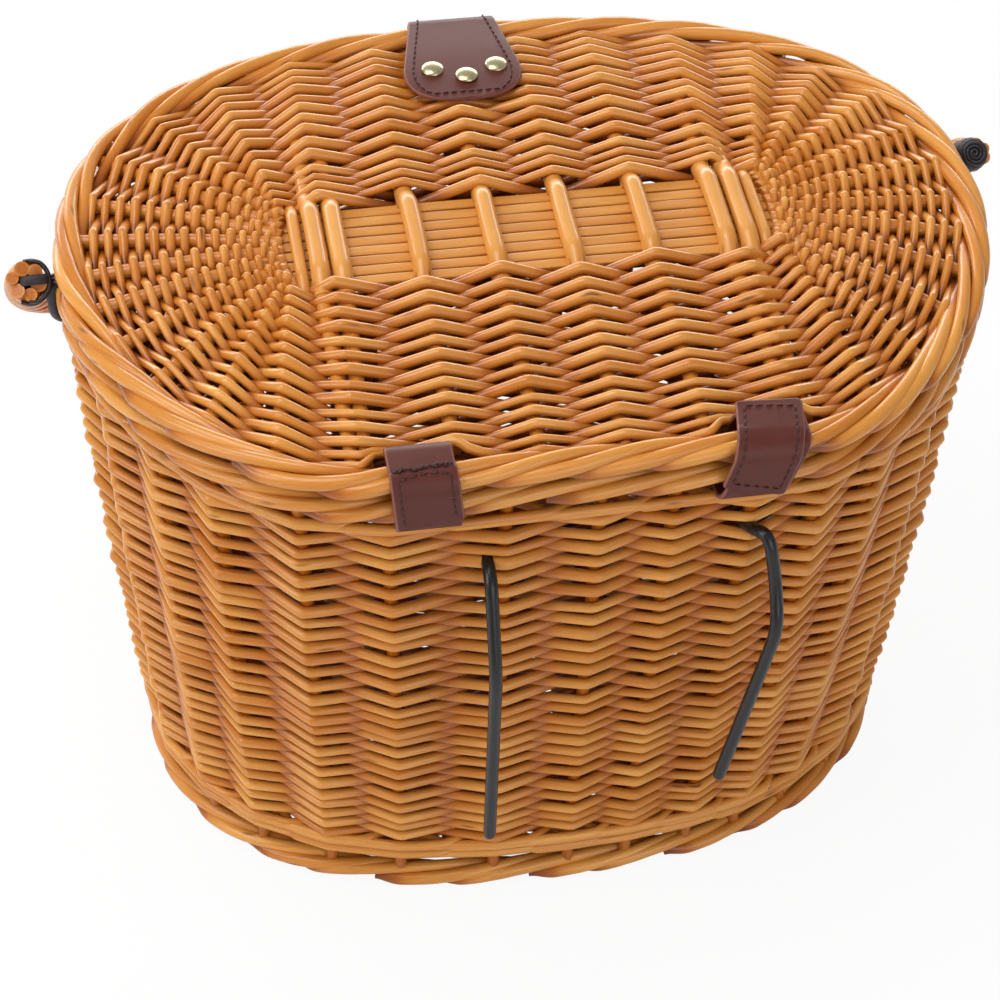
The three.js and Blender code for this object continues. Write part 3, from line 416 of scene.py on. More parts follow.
class Plan:
    """Places on the basket's outline by share of the way round and by height."""

    def __init__(self, levels: Levels) -> None:
        """Keeps dense outlines of the rim and the foot, and the basket's axis."""
        self.levels = levels
        self.rim = RIM.points()
        self.foot = FOOT.points()
        self.shares = np.arange(len(self.rim)) / len(self.rim)
        low, high = (np.array(corner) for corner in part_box("foot_border"))
        self.axis = (low + high) / 2 * [1, 1, 0]

    def piece(self, surface: Surface, name: str) -> Thing:
        """Makes a surface about the basket's axis into an object in the CAD frame."""
        return surface.mesh_object(name, self.axis)

    def box(self, node: str) -> tuple[Array, Array]:
        """Lowest and highest corners of a CAD node, about the basket's axis."""
        low, high = (np.array(corner) - self.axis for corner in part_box(node))
        return low, high

    def lookup(self, values: Array, shares: Array) -> Array:
        """Reads a value kept for each outline point at any share of the way round."""
        return np.interp(shares % 1.0, self.shares, values, period=1.0)

    def at(self, shares: Array, height: Array, inset: Array) -> Array:
        """Points of the wall at a share of the way round, a height and an inset.

        The outline is the rim's and the foot's mixed by height, moved inwards along the
        line square to it.

        Args:
            shares: Shares of the way round, anticlockwise from +X.
            height: Height above the floor.
            inset: Distance in from the outermost rods.

        Returns:
            Points whose last axis is (x, y, z).
        """
        levels = self.levels
        shares, height, inset = np.broadcast_arrays(shares, height, inset)
        span = levels.rim_border - levels.foot_border
        rise = (height - levels.foot_border) / span
        place = []
        for axis in range(2):
            low = self.lookup(self.foot[:, axis], shares)
            high = self.lookup(self.rim[:, axis], shares)
            place.append(low + rise * (high - low))
        outward = self.outward(shares)
        x = place[0] - inset * outward[..., 0]
        y = place[1] - inset * outward[..., 1]
        return np.stack([x, y, height], -1)

    def outward(self, shares: Array) -> Array:
        """Level directions square to the rim at shares of the way round."""
        step = np.roll(self.rim, -1, axis=0) - np.roll(self.rim, 1, axis=0)
        normal = unit(np.stack([step[:, 1], -step[:, 0]], 1))
        parts = [self.lookup(normal[:, axis], shares) for axis in range(2)]
        return unit(np.stack([*parts, np.zeros_like(parts[0])], -1))

    def share_at_x(self, x: float, front: bool) -> float:
        """Share of the way round at which the rim crosses x, on the front or the rear.

        Args:
            x: Distance along the basket.
            front: Whether the crossing is on the front half.

        Returns:
            The share of the way round.
        """
        half = len(self.rim) // 2
        part = slice(0, half) if front else slice(half, None)
        across = self.rim[part, 0]
        order = slice(None, None, -1) if front else slice(None)
        return float(np.interp(x, across[order], self.shares[part][order]))


# Weaving

KINK_SHARES = np.array([0.0, 0.02, 0.06, 0.14, 0.3, 0.5, 0.7, 0.86, 0.94, 0.98])


def crossing_wave(stakes: Array, sharpness: float = 0.995) -> Array:
    """Side of the stakes, 1 over and -1 under: arcsin(c cos(pi t)) / arcsin(c) at t stakes."""
    return np.arcsin(sharpness * np.cos(np.pi * stakes)) / math.asin(sharpness)


@dataclass
class Rounds:
    """Rounds of weaving over stakes, each round one closed path of joined rods."""

    rows: int
    stakes: int
    dice: np.random.Generator
    stakes_per_rod: int = 8

    def __post_init__(self) -> None:
        """Works out each sample's position in stakes, its rod and its share of the rod.

        A round starts behind a stake that it passes under, and a new rod takes over
        every few stakes, behind another such stake.
        """
        each = len(KINK_SHARES)
        sample = np.arange(self.stakes * each + 1)
        run = sample // each + KINK_SHARES[sample % each]
        self.row = np.arange(self.rows)[:, None]
        begin = 2 * self.dice.integers(0, self.stakes // 2, (self.rows, 1)) + (self.row + 1) % 2
        self.position = begin + run[None, :]
        self.wave = crossing_wave(self.position + self.row)
        last = self.stakes // self.stakes_per_rod - 1
        rod = np.minimum(run // self.stakes_per_rod, last).astype(int)
        longest = self.stakes - last * self.stakes_per_rod
        length = np.where(rod == last, longest, self.stakes_per_rod)
        self.travel = np.broadcast_to((run - rod * self.stakes_per_rod) / length, self.wave.shape)
        self.tone = self.dice.random((self.rows, last + 1))[:, rod]
        self.grow = self.dice.uniform(0.9, 1.1, (self.rows, last + 1))[:, rod]

    def between(self, values: Array) -> tuple[Array, Array, Array]:
        """Reads values kept for each round and stake on both sides of every sample.

        Args:
            values: Array of shape (rows, stakes) or (rows, stakes, any).

        Returns:
            The values at the stake before, at the stake after, and the share between.
        """
        before = np.floor(self.position + 1e-9).astype(int)
        share = self.position - before
        row = np.broadcast_to(self.row, before.shape)
        return values[row, before % self.stakes], values[row, (before + 1) % self.stakes], share

    def mixed(self, values: Array) -> Array:
        """Reads values kept for each round and stake, mixed evenly from stake to stake."""
        low, high, share = self.between(values)
        return low + share.reshape(share.shape + (1,) * (low.ndim - share.ndim)) * (high - low)

    def looks(self, under_shade: float) -> Array:
        """Tone, shade and cut-end values, with painted shade where a round passes under.

        Args:
            under_shade: Painted shade where a round is lowest.

        Returns:
            Values of shape (rows, samples, 3).
        """
        looks = np.zeros((*self.wave.shape, 3))
        looks[..., 0] = self.tone
        looks[..., 1] = under_shade * smooth_step(-self.wave, -0.9, 0.75)
        return looks

    def swelling(self) -> Array:
        """Thickness of the rods along each round, over their mean: butts thicker than tips."""
        return self.grow * (1.07 - 0.14 * self.travel)


# Finishes


class Finishes:
    """Every material of the basket, made once."""

    def __init__(self) -> None:
        """Builds the shared node groups and the materials that use them."""
        self.grain = willow_grain_group()
        self.hide = leather_grain_group()
        self.willow = WillowFinish("willow_rod").material(self.grain)
        self.peeled = WillowFinish(
            "peeled_willow",
            light=(0.78, 0.36, 0.075),
            deep=(0.58, 0.195, 0.022),
            roughness=0.3,
        ).material(self.grain)
        self.leather = LeatherFinish("brown_leather").material(self.hide)
        self.brass = ANTIQUE_BRASS.material()
        self.coated = BLACK_COATING.material()
        self.cord = WAXED_CORD.material()
        self.thread = BROWN_THREAD.material()


def filled(node: Node, **settings: object) -> Node:
    """Sets a node's properties, or its inputs by name.

    Args:
        node: The node.
        settings: Its properties; those it lacks are inputs, with spaces written as
            underscores and colours with their three parts.

    Returns:
        The node.
    """
    for key, value in settings.items():
        if hasattr(node, key):
            setattr(node, key, value)
        else:
            value = (*value, 1.0) if isinstance(value, tuple) else value
            node.inputs[key.replace("_", " ")].default_value = value
    return node


class Sketch:
    """A node tree being drawn: adds nodes and links them."""

    def __init__(self, tree: Tree) -> None:
        """Keeps the tree that the nodes go into."""
        self.tree = tree

    def add(self, kind: str, **settings: object) -> Node:
        """Adds a node of a type and fills its properties and inputs."""
        return filled(self.tree.nodes.new(kind), **settings)

    def link(self, source: Socket, target: Socket) -> None:
        """Links an output to an input."""
        self.tree.links.new(source, target)

    def maths(self, operation: str, first: object, second: object) -> Socket:
        """A Math node on two sockets or numbers.

        Args:
            operation: The operation's name.
            first: First socket or number.
            second: Second socket or number.

        Returns:
            The node's output.
        """
        node = self.tree.nodes.new("ShaderNodeMath")
        node.operation = operation
        for place, value in enumerate((first, second)):
            if isinstance(value, Socket):
                self.link(value, node.inputs[place])
            else:
                node.inputs[place].default_value = value
        return node.outputs[0]

    def ramp(self, source: Socket, low: float, high: float) -> Socket:
        """A value stretched so that low becomes 0 and high becomes 1, and clamped."""
        node = self.add("ShaderNodeMapRange", clamp=True, From_Min=low, From_Max=high)
        self.link(source, node.inputs["Value"])
        return node.outputs["Result"]

    def mix(self, factor: Socket, first: object, second: object) -> Socket:
        """Mixes two colours by a factor.

        Args:
            factor: Socket that gives the share of the second colour.
            first: First socket or colour.
            second: Second socket or colour.

        Returns:
            The mixed colour.
        """
        node = self.add("ShaderNodeMix", data_type="RGBA")
        self.link(factor, node.inputs[0])
        for place, value in ((6, first), (7, second)):
            if isinstance(value, Socket):
                self.link(value, node.inputs[place])
            else:
                node.inputs[place].default_value = (*value, 1.0)
        return node.outputs[2]

    def noise(self, vector: Socket, factors: Triple, detail: float, rough: float = 0.5) -> Socket:
        """Noise on a vector.

        Args:
            vector: Place at which the noise is read.
            factors: Fineness along each axis.
            detail: Number of finer layers.
            rough: Weight of the finer layers.

        Returns:
            The noise's value.
        """
        node = self.add("ShaderNodeTexNoise", Scale=1.0, Detail=detail, Roughness=rough)
        self.link(self.scaled(vector, factors), node.inputs["Vector"])
        return node.outputs[0]

    def line(self, source: Socket, slope: float, start: object) -> Socket:
        """A value times a slope, plus a start."""
        return self.maths("ADD", self.maths("MULTIPLY", source, slope), start)

    def scaled(self, vector: Socket, factors: Triple) -> Socket:
        """A vector multiplied part by part."""
        node = self.add("ShaderNodeVectorMath", operation="MULTIPLY")
        self.link(vector, node.inputs[0])
        node.inputs[1].default_value = factors
        return node.outputs[0]


def new_group(
    name: str, takes: dict[str, str], gives: dict[str, str]
) -> tuple[Sketch, Node, Node]:
    """Starts a shader node group.

    Args:
        name: Name of the group.
        takes: Input names and their socket types.
        gives: Output names and their socket types.

    Returns:
        The sketch of its tree, its input node and its output node.
    """
    tree = bpy.data.node_groups.new(name, "ShaderNodeTree")
    for title, kind in takes.items():
        tree.interface.new_socket(title, in_out="INPUT", socket_type=kind)
    for title, kind in gives.items():
        tree.interface.new_socket(title, in_out="OUTPUT", socket_type=kind)
    sketch = Sketch(tree)
    return sketch, sketch.add("NodeGroupInput"), sketch.add("NodeGroupOutput")


def willow_grain_group() -> Tree:
    """Colour, roughness and height of a varnished willow rod.

    It reads the rod's own place (metres along, then across and above its middle) and its
    look (tone, shade and cut end): long streaks and fine fibres run along the rod, with
    small knots and darker bands, the shade value paints shade as deep orange and then dark
    red, and cut ends show pale wood.

    Returns:
        The group's tree.
    """
    sketch, take, give = new_group(
        "willow_grain",
        {
            "Place": "NodeSocketVector",
            "Look": "NodeSocketVector",
            "Light": "NodeSocketColor",
            "Deep": "NodeSocketColor",
        },
        {"Color": "NodeSocketColor", "Rough": "NodeSocketFloat", "Height": "NodeSocketFloat"},
    )
    place = take.outputs["Place"]
    look = sketch.add("ShaderNodeSeparateXYZ")
    sketch.link(take.outputs["Look"], look.inputs[0])
    streak = sketch.noise(place, (9.0, 420.0, 420.0), 3.0, 0.6)
    fibre = sketch.noise(place, (60.0, 2600.0, 2600.0), 2.0, 0.6)
    drift = sketch.noise(place, (14.0, 60.0, 60.0), 2.0)
    tone = sketch.maths("MULTIPLY", look.outputs[0], 0.62)
    tone = sketch.maths("ADD", tone, sketch.maths("MULTIPLY", sketch.ramp(streak, 0.35, 0.7), 0.3))
    tone = sketch.maths("ADD", tone, sketch.maths("MULTIPLY", sketch.ramp(drift, 0.35, 0.7), 0.35))
    tone = sketch.ramp(tone, 0.1, 1.1)
    colour = sketch.mix(tone, take.outputs["Light"], take.outputs["Deep"])
    fibres = sketch.maths("MULTIPLY", sketch.ramp(fibre, 0.52, 0.75), 0.35)
    colour = sketch.mix(fibres, colour, (0.30, 0.075, 0.008))
    knots = sketch.add("ShaderNodeTexVoronoi", Scale=1.0)
    sketch.link(sketch.scaled(place, (38.0, 210.0, 210.0)), knots.inputs["Vector"])
    knot = sketch.ramp(knots.outputs["Distance"], 0.2, 0.08)
    rare = sketch.noise(place, (23.0, 90.0, 90.0), 0.0)
    rare = sketch.ramp(rare, 0.58, 0.62)
    knot = sketch.maths("MULTIPLY", knot, rare)
    colour = sketch.mix(sketch.maths("MULTIPLY", knot, 0.75), colour, (0.13, 0.030, 0.005))
    # Painted shade: the shade value mixes the colour towards deep orange, and where it is high
    # towards dark red.
    painted_half_shade = sketch.maths("MULTIPLY", sketch.ramp(look.outputs[1], 0.0, 0.6), 0.75)
    colour = sketch.mix(painted_half_shade, colour, (0.50, 0.125, 0.004))
    painted_full_shade = sketch.maths("MULTIPLY", sketch.ramp(look.outputs[1], 0.35, 1.0), 0.85)
    colour = sketch.mix(painted_full_shade, colour, (0.15, 0.020, 0.0005))
    ends = sketch.mix(sketch.ramp(fibre, 0.4, 0.6), (0.62, 0.20, 0.035), (0.40, 0.10, 0.012))
    colour = sketch.mix(sketch.ramp(look.outputs[2], 0.05, 0.35), colour, ends)
    sketch.link(colour, give.inputs["Color"])
    rough = sketch.maths("MULTIPLY", sketch.ramp(fibre, 0.3, 0.8), 0.16)
    sketch.link(sketch.line(knot, 0.2, rough), give.inputs["Rough"])
    height = sketch.maths("ADD", sketch.maths("MULTIPLY", streak, 0.6), fibre)
    height = sketch.maths("SUBTRACT", height, sketch.maths("MULTIPLY", knot, 1.2))
    sketch.link(height, give.inputs["Height"])
    return sketch.tree


def leather_grain_group() -> Tree:
    """Colour mask, roughness and height of finished leather.

    Fine pebbles are cells whose borders are creases; larger noise gives soft blotches.

    Returns:
        The group's tree.
    """
    sketch, take, give = new_group(
        "leather_grain",
        {"Place": "NodeSocketVector"},
        {"Blotch": "NodeSocketFloat", "Rough": "NodeSocketFloat", "Height": "NodeSocketFloat"},
    )
    place = take.outputs["Place"]
    cells = sketch.add("ShaderNodeTexVoronoi", feature="DISTANCE_TO_EDGE", Scale=1.0)
    sketch.link(sketch.scaled(place, (1500.0, 1500.0, 1500.0)), cells.inputs["Vector"])
    crease = sketch.ramp(cells.outputs[0], 0.0, 0.2)
    fine = sketch.noise(place, (3200.0, 3200.0, 3200.0), 2.0)
    blotch = sketch.noise(place, (90.0, 90.0, 90.0), 3.0)
    sketch.link(sketch.ramp(blotch, 0.3, 0.7), give.inputs["Blotch"])
    sketch.link(sketch.maths("MULTIPLY", blotch, 0.25), give.inputs["Rough"])
    height = sketch.maths("ADD", crease, sketch.maths("MULTIPLY", fine, 0.5))
    sketch.link(height, give.inputs["Height"])
    return sketch.tree


def blank_material(name: str) -> tuple[Material, Sketch, Node]:
    """A node material with only its shader and output.

    Args:
        name: Name of the material.

    Returns:
        The material, a sketch of its tree and its Principled shader.
    """
    material = bpy.data.materials.new(name)
    material.use_nodes = True
    sketch = Sketch(material.node_tree)
    shader = material.node_tree.nodes["Principled BSDF"]
    return material, sketch, shader


def bump_into(sketch: Sketch, shader: Node, height: Socket, strength: float, rise: float) -> None:
    """Adds a bump from a height to a shader.

    Args:
        sketch: Sketch of the material's tree.
        shader: The shader to give the bump to.
        height: Socket with the height.
        strength: Share of the bump that is used.
        rise: Height in metres that a value of 1 stands for.
    """
    bump = sketch.add("ShaderNodeBump", Strength=strength, Distance=rise)
    sketch.link(height, bump.inputs["Height"])
    sketch.link(bump.outputs[0], shader.inputs["Normal"])


@dataclass(frozen=True)
class WillowFinish:
    """Varnished willow, honey brown, with grain along each rod."""

    name: str
    light: Triple = (0.80, 0.37, 0.075)
    deep: Triple = (0.58, 0.185, 0.016)
    roughness: float = 0.24
    bump: float = 0.0001

    def material(self, grain: Tree) -> Material:
        """Builds the material.

        Args:
            grain: The shared willow grain group.

        Returns:
            The material.
        """
        material, sketch, shader = blank_material(self.name)
        place = sketch.add("ShaderNodeAttribute", attribute_name="rod_place")
        look = sketch.add("ShaderNodeAttribute", attribute_name="rod_look")
        group = sketch.add("ShaderNodeGroup", node_tree=grain, Light=self.light, Deep=self.deep)
        sketch.link(place.outputs["Vector"], group.inputs["Place"])
        sketch.link(look.outputs["Vector"], group.inputs["Look"])
        sketch.link(group.outputs["Color"], shader.inputs["Base Color"])
        rough = sketch.maths("ADD", group.outputs["Rough"], self.roughness)
        sketch.link(rough, shader.inputs["Roughness"])
        filled(shader, Specular_IOR_Level=0.35, Coat_Weight=0.3, Coat_Roughness=0.12)
        bump_into(sketch, shader, group.outputs["Height"], 0.6, self.bump)
        return material


@dataclass(frozen=True)
class LeatherFinish:
    """Smooth reddish brown leather with a fine pebble, a slight sheen and a painted pale highlight
    along its edges.
    """

    name: str
    colour: Triple = (0.094, 0.0155, 0.0095)
    worn: Triple = (0.110, 0.022, 0.014)
    # Pale colour of the painted highlight on the edges.
    edge: Triple = (0.26, 0.10, 0.075)
    roughness: float = 0.3

    def material(self, hide: Tree) -> Material:
        """Builds the material.

        Args:
            hide: The shared leather grain group.

        Returns:
            The material.
        """
        material, sketch, shader = blank_material(self.name)
        place = sketch.add("ShaderNodeTexCoord")
        group = sketch.add("ShaderNodeGroup", node_tree=hide)
        sketch.link(place.outputs["Object"], group.inputs["Place"])
        colour = sketch.mix(group.outputs["Blotch"], self.colour, self.worn)
        look = sketch.add("ShaderNodeAttribute", attribute_name="rod_look")
        parts = sketch.add("ShaderNodeSeparateXYZ")
        sketch.link(look.outputs["Vector"], parts.inputs[0])
        # Painted highlight: the rounded edges are mixed towards the pale edge colour.
        rim = sketch.maths("MULTIPLY", sketch.ramp(parts.outputs[2], 0.3, 0.95), 0.8)
        colour = sketch.mix(rim, colour, self.edge)
        sketch.link(colour, shader.inputs["Base Color"])
        rough = sketch.maths("ADD", group.outputs["Rough"], self.roughness)
        sketch.link(rough, shader.inputs["Roughness"])
        filled(shader, Specular_IOR_Level=0.33)
        bump_into(sketch, shader, group.outputs["Height"], 0.35, 0.00006)
        return material


@dataclass(frozen=True)
class Noise:
    """Noise over a surface: its fineness on each axis, its layers and their weight."""

    fineness: Triple
    layers: float
    weight: float = 0.5


@dataclass(frozen=True)
class SpeckledFinish:
    """A colour with spots of another; roughness runs from its start by the spots' slope.

    The relief is a noise of its own, or that of the spots where there is none.
    """

    name: str
    colour: Triple
    spots: Triple
    noise: Noise
    span: tuple[float, float]
    rough_start: float
    rough_slope: float
    bump_strength: float
    bump_height: float
    relief: Noise | None = None
    metallic: float = 0.0
    along_rod: bool = False

    def material(self) -> Material:
        """Builds and returns the material."""
        material, sketch, shader = blank_material(self.name)
        if self.along_rod:
            place = sketch.add("ShaderNodeAttribute", attribute_name="rod_place").outputs["Vector"]
        else:
            place = sketch.add("ShaderNodeTexCoord").outputs["Object"]
        noise, relief = self.noise, self.relief
        spots = sketch.noise(place, noise.fineness, noise.layers, noise.weight)
        colour = sketch.mix(sketch.ramp(spots, *self.span), self.colour, self.spots)
        sketch.link(colour, shader.inputs["Base Color"])
        filled(shader, Metallic=self.metallic, Roughness=self.rough_start)
        if self.rough_slope:
            rough = sketch.line(spots, self.rough_slope, self.rough_start)
            sketch.link(rough, shader.inputs["Roughness"])
        if relief is not None:
            spots = sketch.noise(place, relief.fineness, relief.layers, relief.weight)
        bump_into(sketch, shader, spots, self.bump_strength, self.bump_height)
        return material


ANTIQUE_BRASS = SpeckledFinish(
    "antique_brass",
    colour=(0.74, 0.66, 0.40),
    spots=(0.50, 0.42, 0.21),
    noise=Noise((420.0, 420.0, 420.0), 4.0, 0.6),
    span=(0.42, 0.75),
    rough_start=0.16,
    rough_slope=0.25,
    bump_strength=0.25,
    bump_height=0.00003,
    relief=Noise((900.0, 5200.0, 2600.0), 2.0, 0.6),
    metallic=1.0,
)
BLACK_COATING = SpeckledFinish(
    "black_coating",
    colour=(0.006, 0.006, 0.007),
    spots=(0.016, 0.016, 0.018),
    noise=Noise((1400.0, 1400.0, 1400.0), 3.0),
    span=(0.55, 0.8),
    rough_start=0.2,
    rough_slope=0.2,
    bump_strength=0.3,
    bump_height=0.0002,
    relief=Noise((300.0, 300.0, 120.0), 2.0),
)
WAXED_CORD = SpeckledFinish(
    "waxed_cord",
    colour=(0.018, 0.014, 0.018),
    spots=(0.050, 0.042, 0.055),
    noise=Noise((500.0, 3200.0, 3200.0), 3.0, 0.6),
    span=(0.45, 0.75),
    rough_start=0.35,
    rough_slope=0.3,
    bump_strength=0.5,
    bump_height=0.0002,
    along_rod=True,
)
BROWN_THREAD = SpeckledFinish(
    "brown_thread",
    colour=(0.030, 0.006, 0.005),
    spots=(0.075, 0.020, 0.015),
    noise=Noise((4000.0, 3000.0, 3000.0), 2.0),
    span=(0.35, 0.65),
    rough_start=0.55,
    rough_slope=0.0,
    bump_strength=0.5,
    bump_height=0.0001,
    along_rod=True,
)


def dress(obj: Thing, material: Material, body: Body, nodes: Names = ()) -> Thing:
    """Gives a piece its material, its body and the nodes it stands for.

    Args:
        obj: The finished piece.
        material: Its material.
        body: The body that it rides on.
        nodes: CAD nodes that it replaces.

    Returns:
        The piece.
    """
    obj.data.materials.clear()
    obj.data.materials.append(material)
    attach(obj, body.value)
    if nodes:
        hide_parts(*nodes)
    LOG.info("%s: %d faces on %s", obj.name, len(obj.data.polygons), body.value)
    return obj


# Pieces


@dataclass
class Wall:
    """The woven side wall: stakes, plain weaving and bands of waling."""

    plan: Plan
    finishes: Finishes
    rows: int = 52
    spare_rows: float = 4.8
    rod_radius: float = 2.28 * MM
    stake_radius: float = 2.9 * MM
    middle_inset: float = 8.2 * MM
    belly: float = 1.5 * MM
    rod_drift: float = 0.45 * MM
    row_wave: float = 0.8 * MM
    row_wave_run: float = 60 * MM
    wale_radius: float = 2.2 * MM
    wale_climb: float = 2.9 * MM
    rider_stakes: tuple[float, ...] = (
        0.547, 0.579, 0.609, 0.645, 0.680, 0.722, 0.756, 0.783, 0.812, 0.839,
    )
    other_stakes: int = 22
    sides: int = 10
    seed: int = 11

    def __post_init__(self) -> None:
        """Places the stakes round the outline: on the rider's side as in the photograph."""
        self.dice = np.random.default_rng(self.seed)
        rider, others = np.array(self.rider_stakes), self.other_stakes
        step = (1 + rider[0] - rider[-1]) / (others + 1)
        uneven = self.dice.uniform(-0.12, 0.12, others)
        rest = rider[-1] + step * (np.arange(1, others + 1) + uneven)
        self.stake_shares = np.sort(np.concatenate([rider, rest]) % 1.0)
        self.stakes = len(self.stake_shares)
        levels = self.plan.levels
        self.bottom = levels.wall_bottom + 0.6 * MM
        self.top = levels.rim_border - levels.border_radius + 1.0 * MM
        self.space = (self.top - self.bottom) / (self.rows + self.spare_rows)

    def bulge(self, height: Array) -> Array:
        """How far the wall swells out at a height: a half sine over the woven part."""
        rise = np.clip((height - self.bottom) / (self.top - self.bottom), 0, 1)
        return self.belly * np.sin(np.pi * rise)

    def weaving(self, rounds: Rounds, height: Array, lift: Array, radii: Array) -> Surface:
        """Rods that run straight from stake to stake.

        A rod's inset is the middle's less the lift times its side of the stakes.

        Args:
            rounds: The rounds.
            height: Height of each round at each stake.
            lift: Distance of a rod's middle from the stakes' middle, at each sample.
            radii: Radius at each sample.

        Returns:
            The rods' surface.
        """
        level = rounds.mixed(height)
        inset = self.middle_inset - self.bulge(level) - lift * rounds.wave
        spot = np.broadcast_to(self.stake_shares, height.shape)
        start, end, share = rounds.between(spot)
        start = self.plan.at(start, level, inset)
        end = self.plan.at(end, level, inset)
        paths = start + share[..., None] * (end - start)
        return tubes(paths, radii, self.sides, UP, rounds.looks(1.0))

    def plain(self) -> Surface:
        """The plain weave: each round passes over one stake and under the next."""
        rounds = Rounds(self.rows, self.stakes, self.dice)
        swing = self.dice.uniform(0.76, 1.24, self.rows + 1)
        base = self.bottom + 3.0 * self.space
        run = np.cumsum(swing / swing.mean())[:-1, None] * self.space
        drift = self.rod_drift * self.dice.normal(size=(self.rows, self.stakes))
        phase = 2 * np.pi * (run / self.row_wave_run + 3 * self.stake_shares)
        wave = self.row_wave * np.sin(phase)
        height = base + run - 0.5 * self.space + drift + wave
        radii = self.rod_radius * rounds.swelling() * (swing[:-1, None] * 0.5 + 0.5)
        lift = self.stake_radius + radii - 0.2 * MM
        return self.weaving(rounds, height, lift, radii)

    def waling(self, middle: float, seed: int) -> Surface:
        """A band of three rods that each pass over two stakes and under one.

        Over the two stakes a rod's side is 1 and under the third it is -1, joined by
        smooth steps; it climbs a little while it lies outside.

        Args:
            middle: Height of the band.
            seed: Seed of its random numbers.

        Returns:
            The rods' surface.
        """
        dice = np.random.default_rng(seed)
        each = 14
        rods = np.arange(3)[:, None]
        run = np.arange(self.stakes * each + 1)[None, :] / each
        turn = ((run + rods) % 3.0) / 3.0
        over = smooth_step(turn, 0.02, 0.2) * (1 - smooth_step(turn, 0.8, 0.98))
        radii = self.wale_radius * dice.uniform(0.94, 1.08, (3, 1)) * np.ones_like(turn)
        height = middle + self.wale_climb * (turn - 0.5) * (0.3 + 0.7 * over)
        lift = (self.stake_radius + radii - 0.4 * MM) * (2 * over - 1)
        inset = self.middle_inset - self.bulge(height) - lift
        whole = np.floor(run + 1e-9).astype(int) % self.stakes
        share = (run - np.floor(run + 1e-9))[..., None]
        start = self.plan.at(self.stake_shares[whole], height, inset)
        end = self.plan.at(self.stake_shares[(whole + 1) % self.stakes], height, inset)
        looks = plain_looks(3, run.shape[1], dice)
        # Painted shade: each rod is darker where it passes under a stake.
        looks[..., 1] = 0.7 * (1 - over)
        return tubes(start + share * (end - start), radii, self.sides, UP, looks)

    def stake_rods(self) -> Surface:
        """The upright stakes, from inside the foot border to inside the rim border."""
        levels = self.plan.levels
        height = np.linspace(levels.foot_border, levels.rim_border, 60)[None, :]
        share = self.stake_shares[:, None]
        settle = smooth_step(height, levels.foot_border, self.bottom)
        settle = settle * (1 - smooth_step(height, self.top - 6 * MM, levels.rim_border))
        inset = levels.border_radius + settle * (self.middle_inset - levels.border_radius)
        paths = self.plan.at(share, height, inset - self.bulge(height))
        # The stakes get an even painted shade.
        looks = plain_looks(self.stakes, height.shape[1], self.dice, 0.55)
        reference = self.plan.outward(share * np.ones_like(height))
        return tubes(paths, np.array([[self.stake_radius]]), self.sides, reference, looks)

    def build(self) -> None:
        """Makes the wall's pieces; together they stand for the CAD wall."""
        lower = self.waling(self.bottom + 0.7 * self.space, 3)
        lower = lower.joined(self.waling(self.bottom + 2.2 * self.space, 4))
        upper = self.waling(self.top - 1.2 * self.space, 6)
        pieces = {
            "wall_weave": self.plain(),
            "wall_lower_waling": lower,
            "wall_upper_waling": upper,
            "wall_stakes": self.stake_rods(),
        }
        for name, surface in pieces.items():
            nodes = ("side_wall",) if name == "wall_weave" else ()
            obj = self.plan.piece(surface, name)
            dress(obj, self.finishes.willow, Body.BASKET, nodes)


@dataclass
class RolledBorder:
    """A border of stakes bent down one after another and rolled round each other."""

    plan: Plan
    finishes: Finishes
    name: str
    node: str
    body: Body
    height: float
    outline_height: float
    half_width: float = 6.5 * MM
    half_height: float = 6.5 * MM
    rods: int = 34
    rod_radius: float = 2.9 * MM
    sweep: float = 3.6
    start_angle: float = -44.0
    end_angle: float = 228.0
    flat_bottom: float | None = None
    seed: int = 5

    def build(self) -> Thing:
        """Makes the border's rods.

        Anticlockwise a rod comes up outside from below, goes over the top and down
        inside while it runs along the border; its ends dive into the bundle. At angle a
        its middle stands (w - r) cos a out and (h - r) sin a up.

        Returns:
            The border's object.
        """
        dice = np.random.default_rng(self.seed)
        steps = 90
        travel = np.linspace(0, 1, steps)[None, :]
        start = (np.arange(self.rods) + dice.uniform(-0.2, 0.2, self.rods))[:, None]
        share = (start + self.sweep * travel) / self.rods
        swing = dice.uniform(-0.05, 0.05, (self.rods, 1)) * np.sin(2 * np.pi * travel)
        ease = travel + swing
        angle = np.radians(self.start_angle + (self.end_angle - self.start_angle) * ease)
        dive = smooth_step(travel, 0.0, 0.1) * (1 - smooth_step(travel, 0.9, 1.0))
        grow = dice.uniform(0.9, 1.1, (self.rods, 1))
        radius = self.rod_radius * (1.12 - 0.26 * travel) * grow
        wide = (self.half_width - radius) * (0.4 + 0.6 * dive)
        tall = (self.half_height - radius) * (0.4 + 0.6 * dive)
        paths = self.plan.at(share, self.outline_height, self.half_width - wide * np.cos(angle))
        paths[..., 2] = self.height + tall * np.sin(angle)
        looks = plain_looks(self.rods, steps, dice)
        # Painted shade: each rod darkens towards both ends, where it dives into the bundle.
        looks[..., 1] = 1 - smooth_step(travel, 0.0, 0.2) * (1 - smooth_step(travel, 0.6, 1.0))
        outward = self.plan.outward(share)
        reference = outward * np.cos(angle)[..., None] + UP * np.sin(angle)[..., None]
        surface = tubes(paths, radius, 14, reference, looks)
        if self.flat_bottom is not None:
            surface.points[:, 2] = np.maximum(surface.points[:, 2], self.flat_bottom)
        obj = self.plan.piece(surface, self.name)
        return dress(obj, self.finishes.willow, self.body, (self.node,))


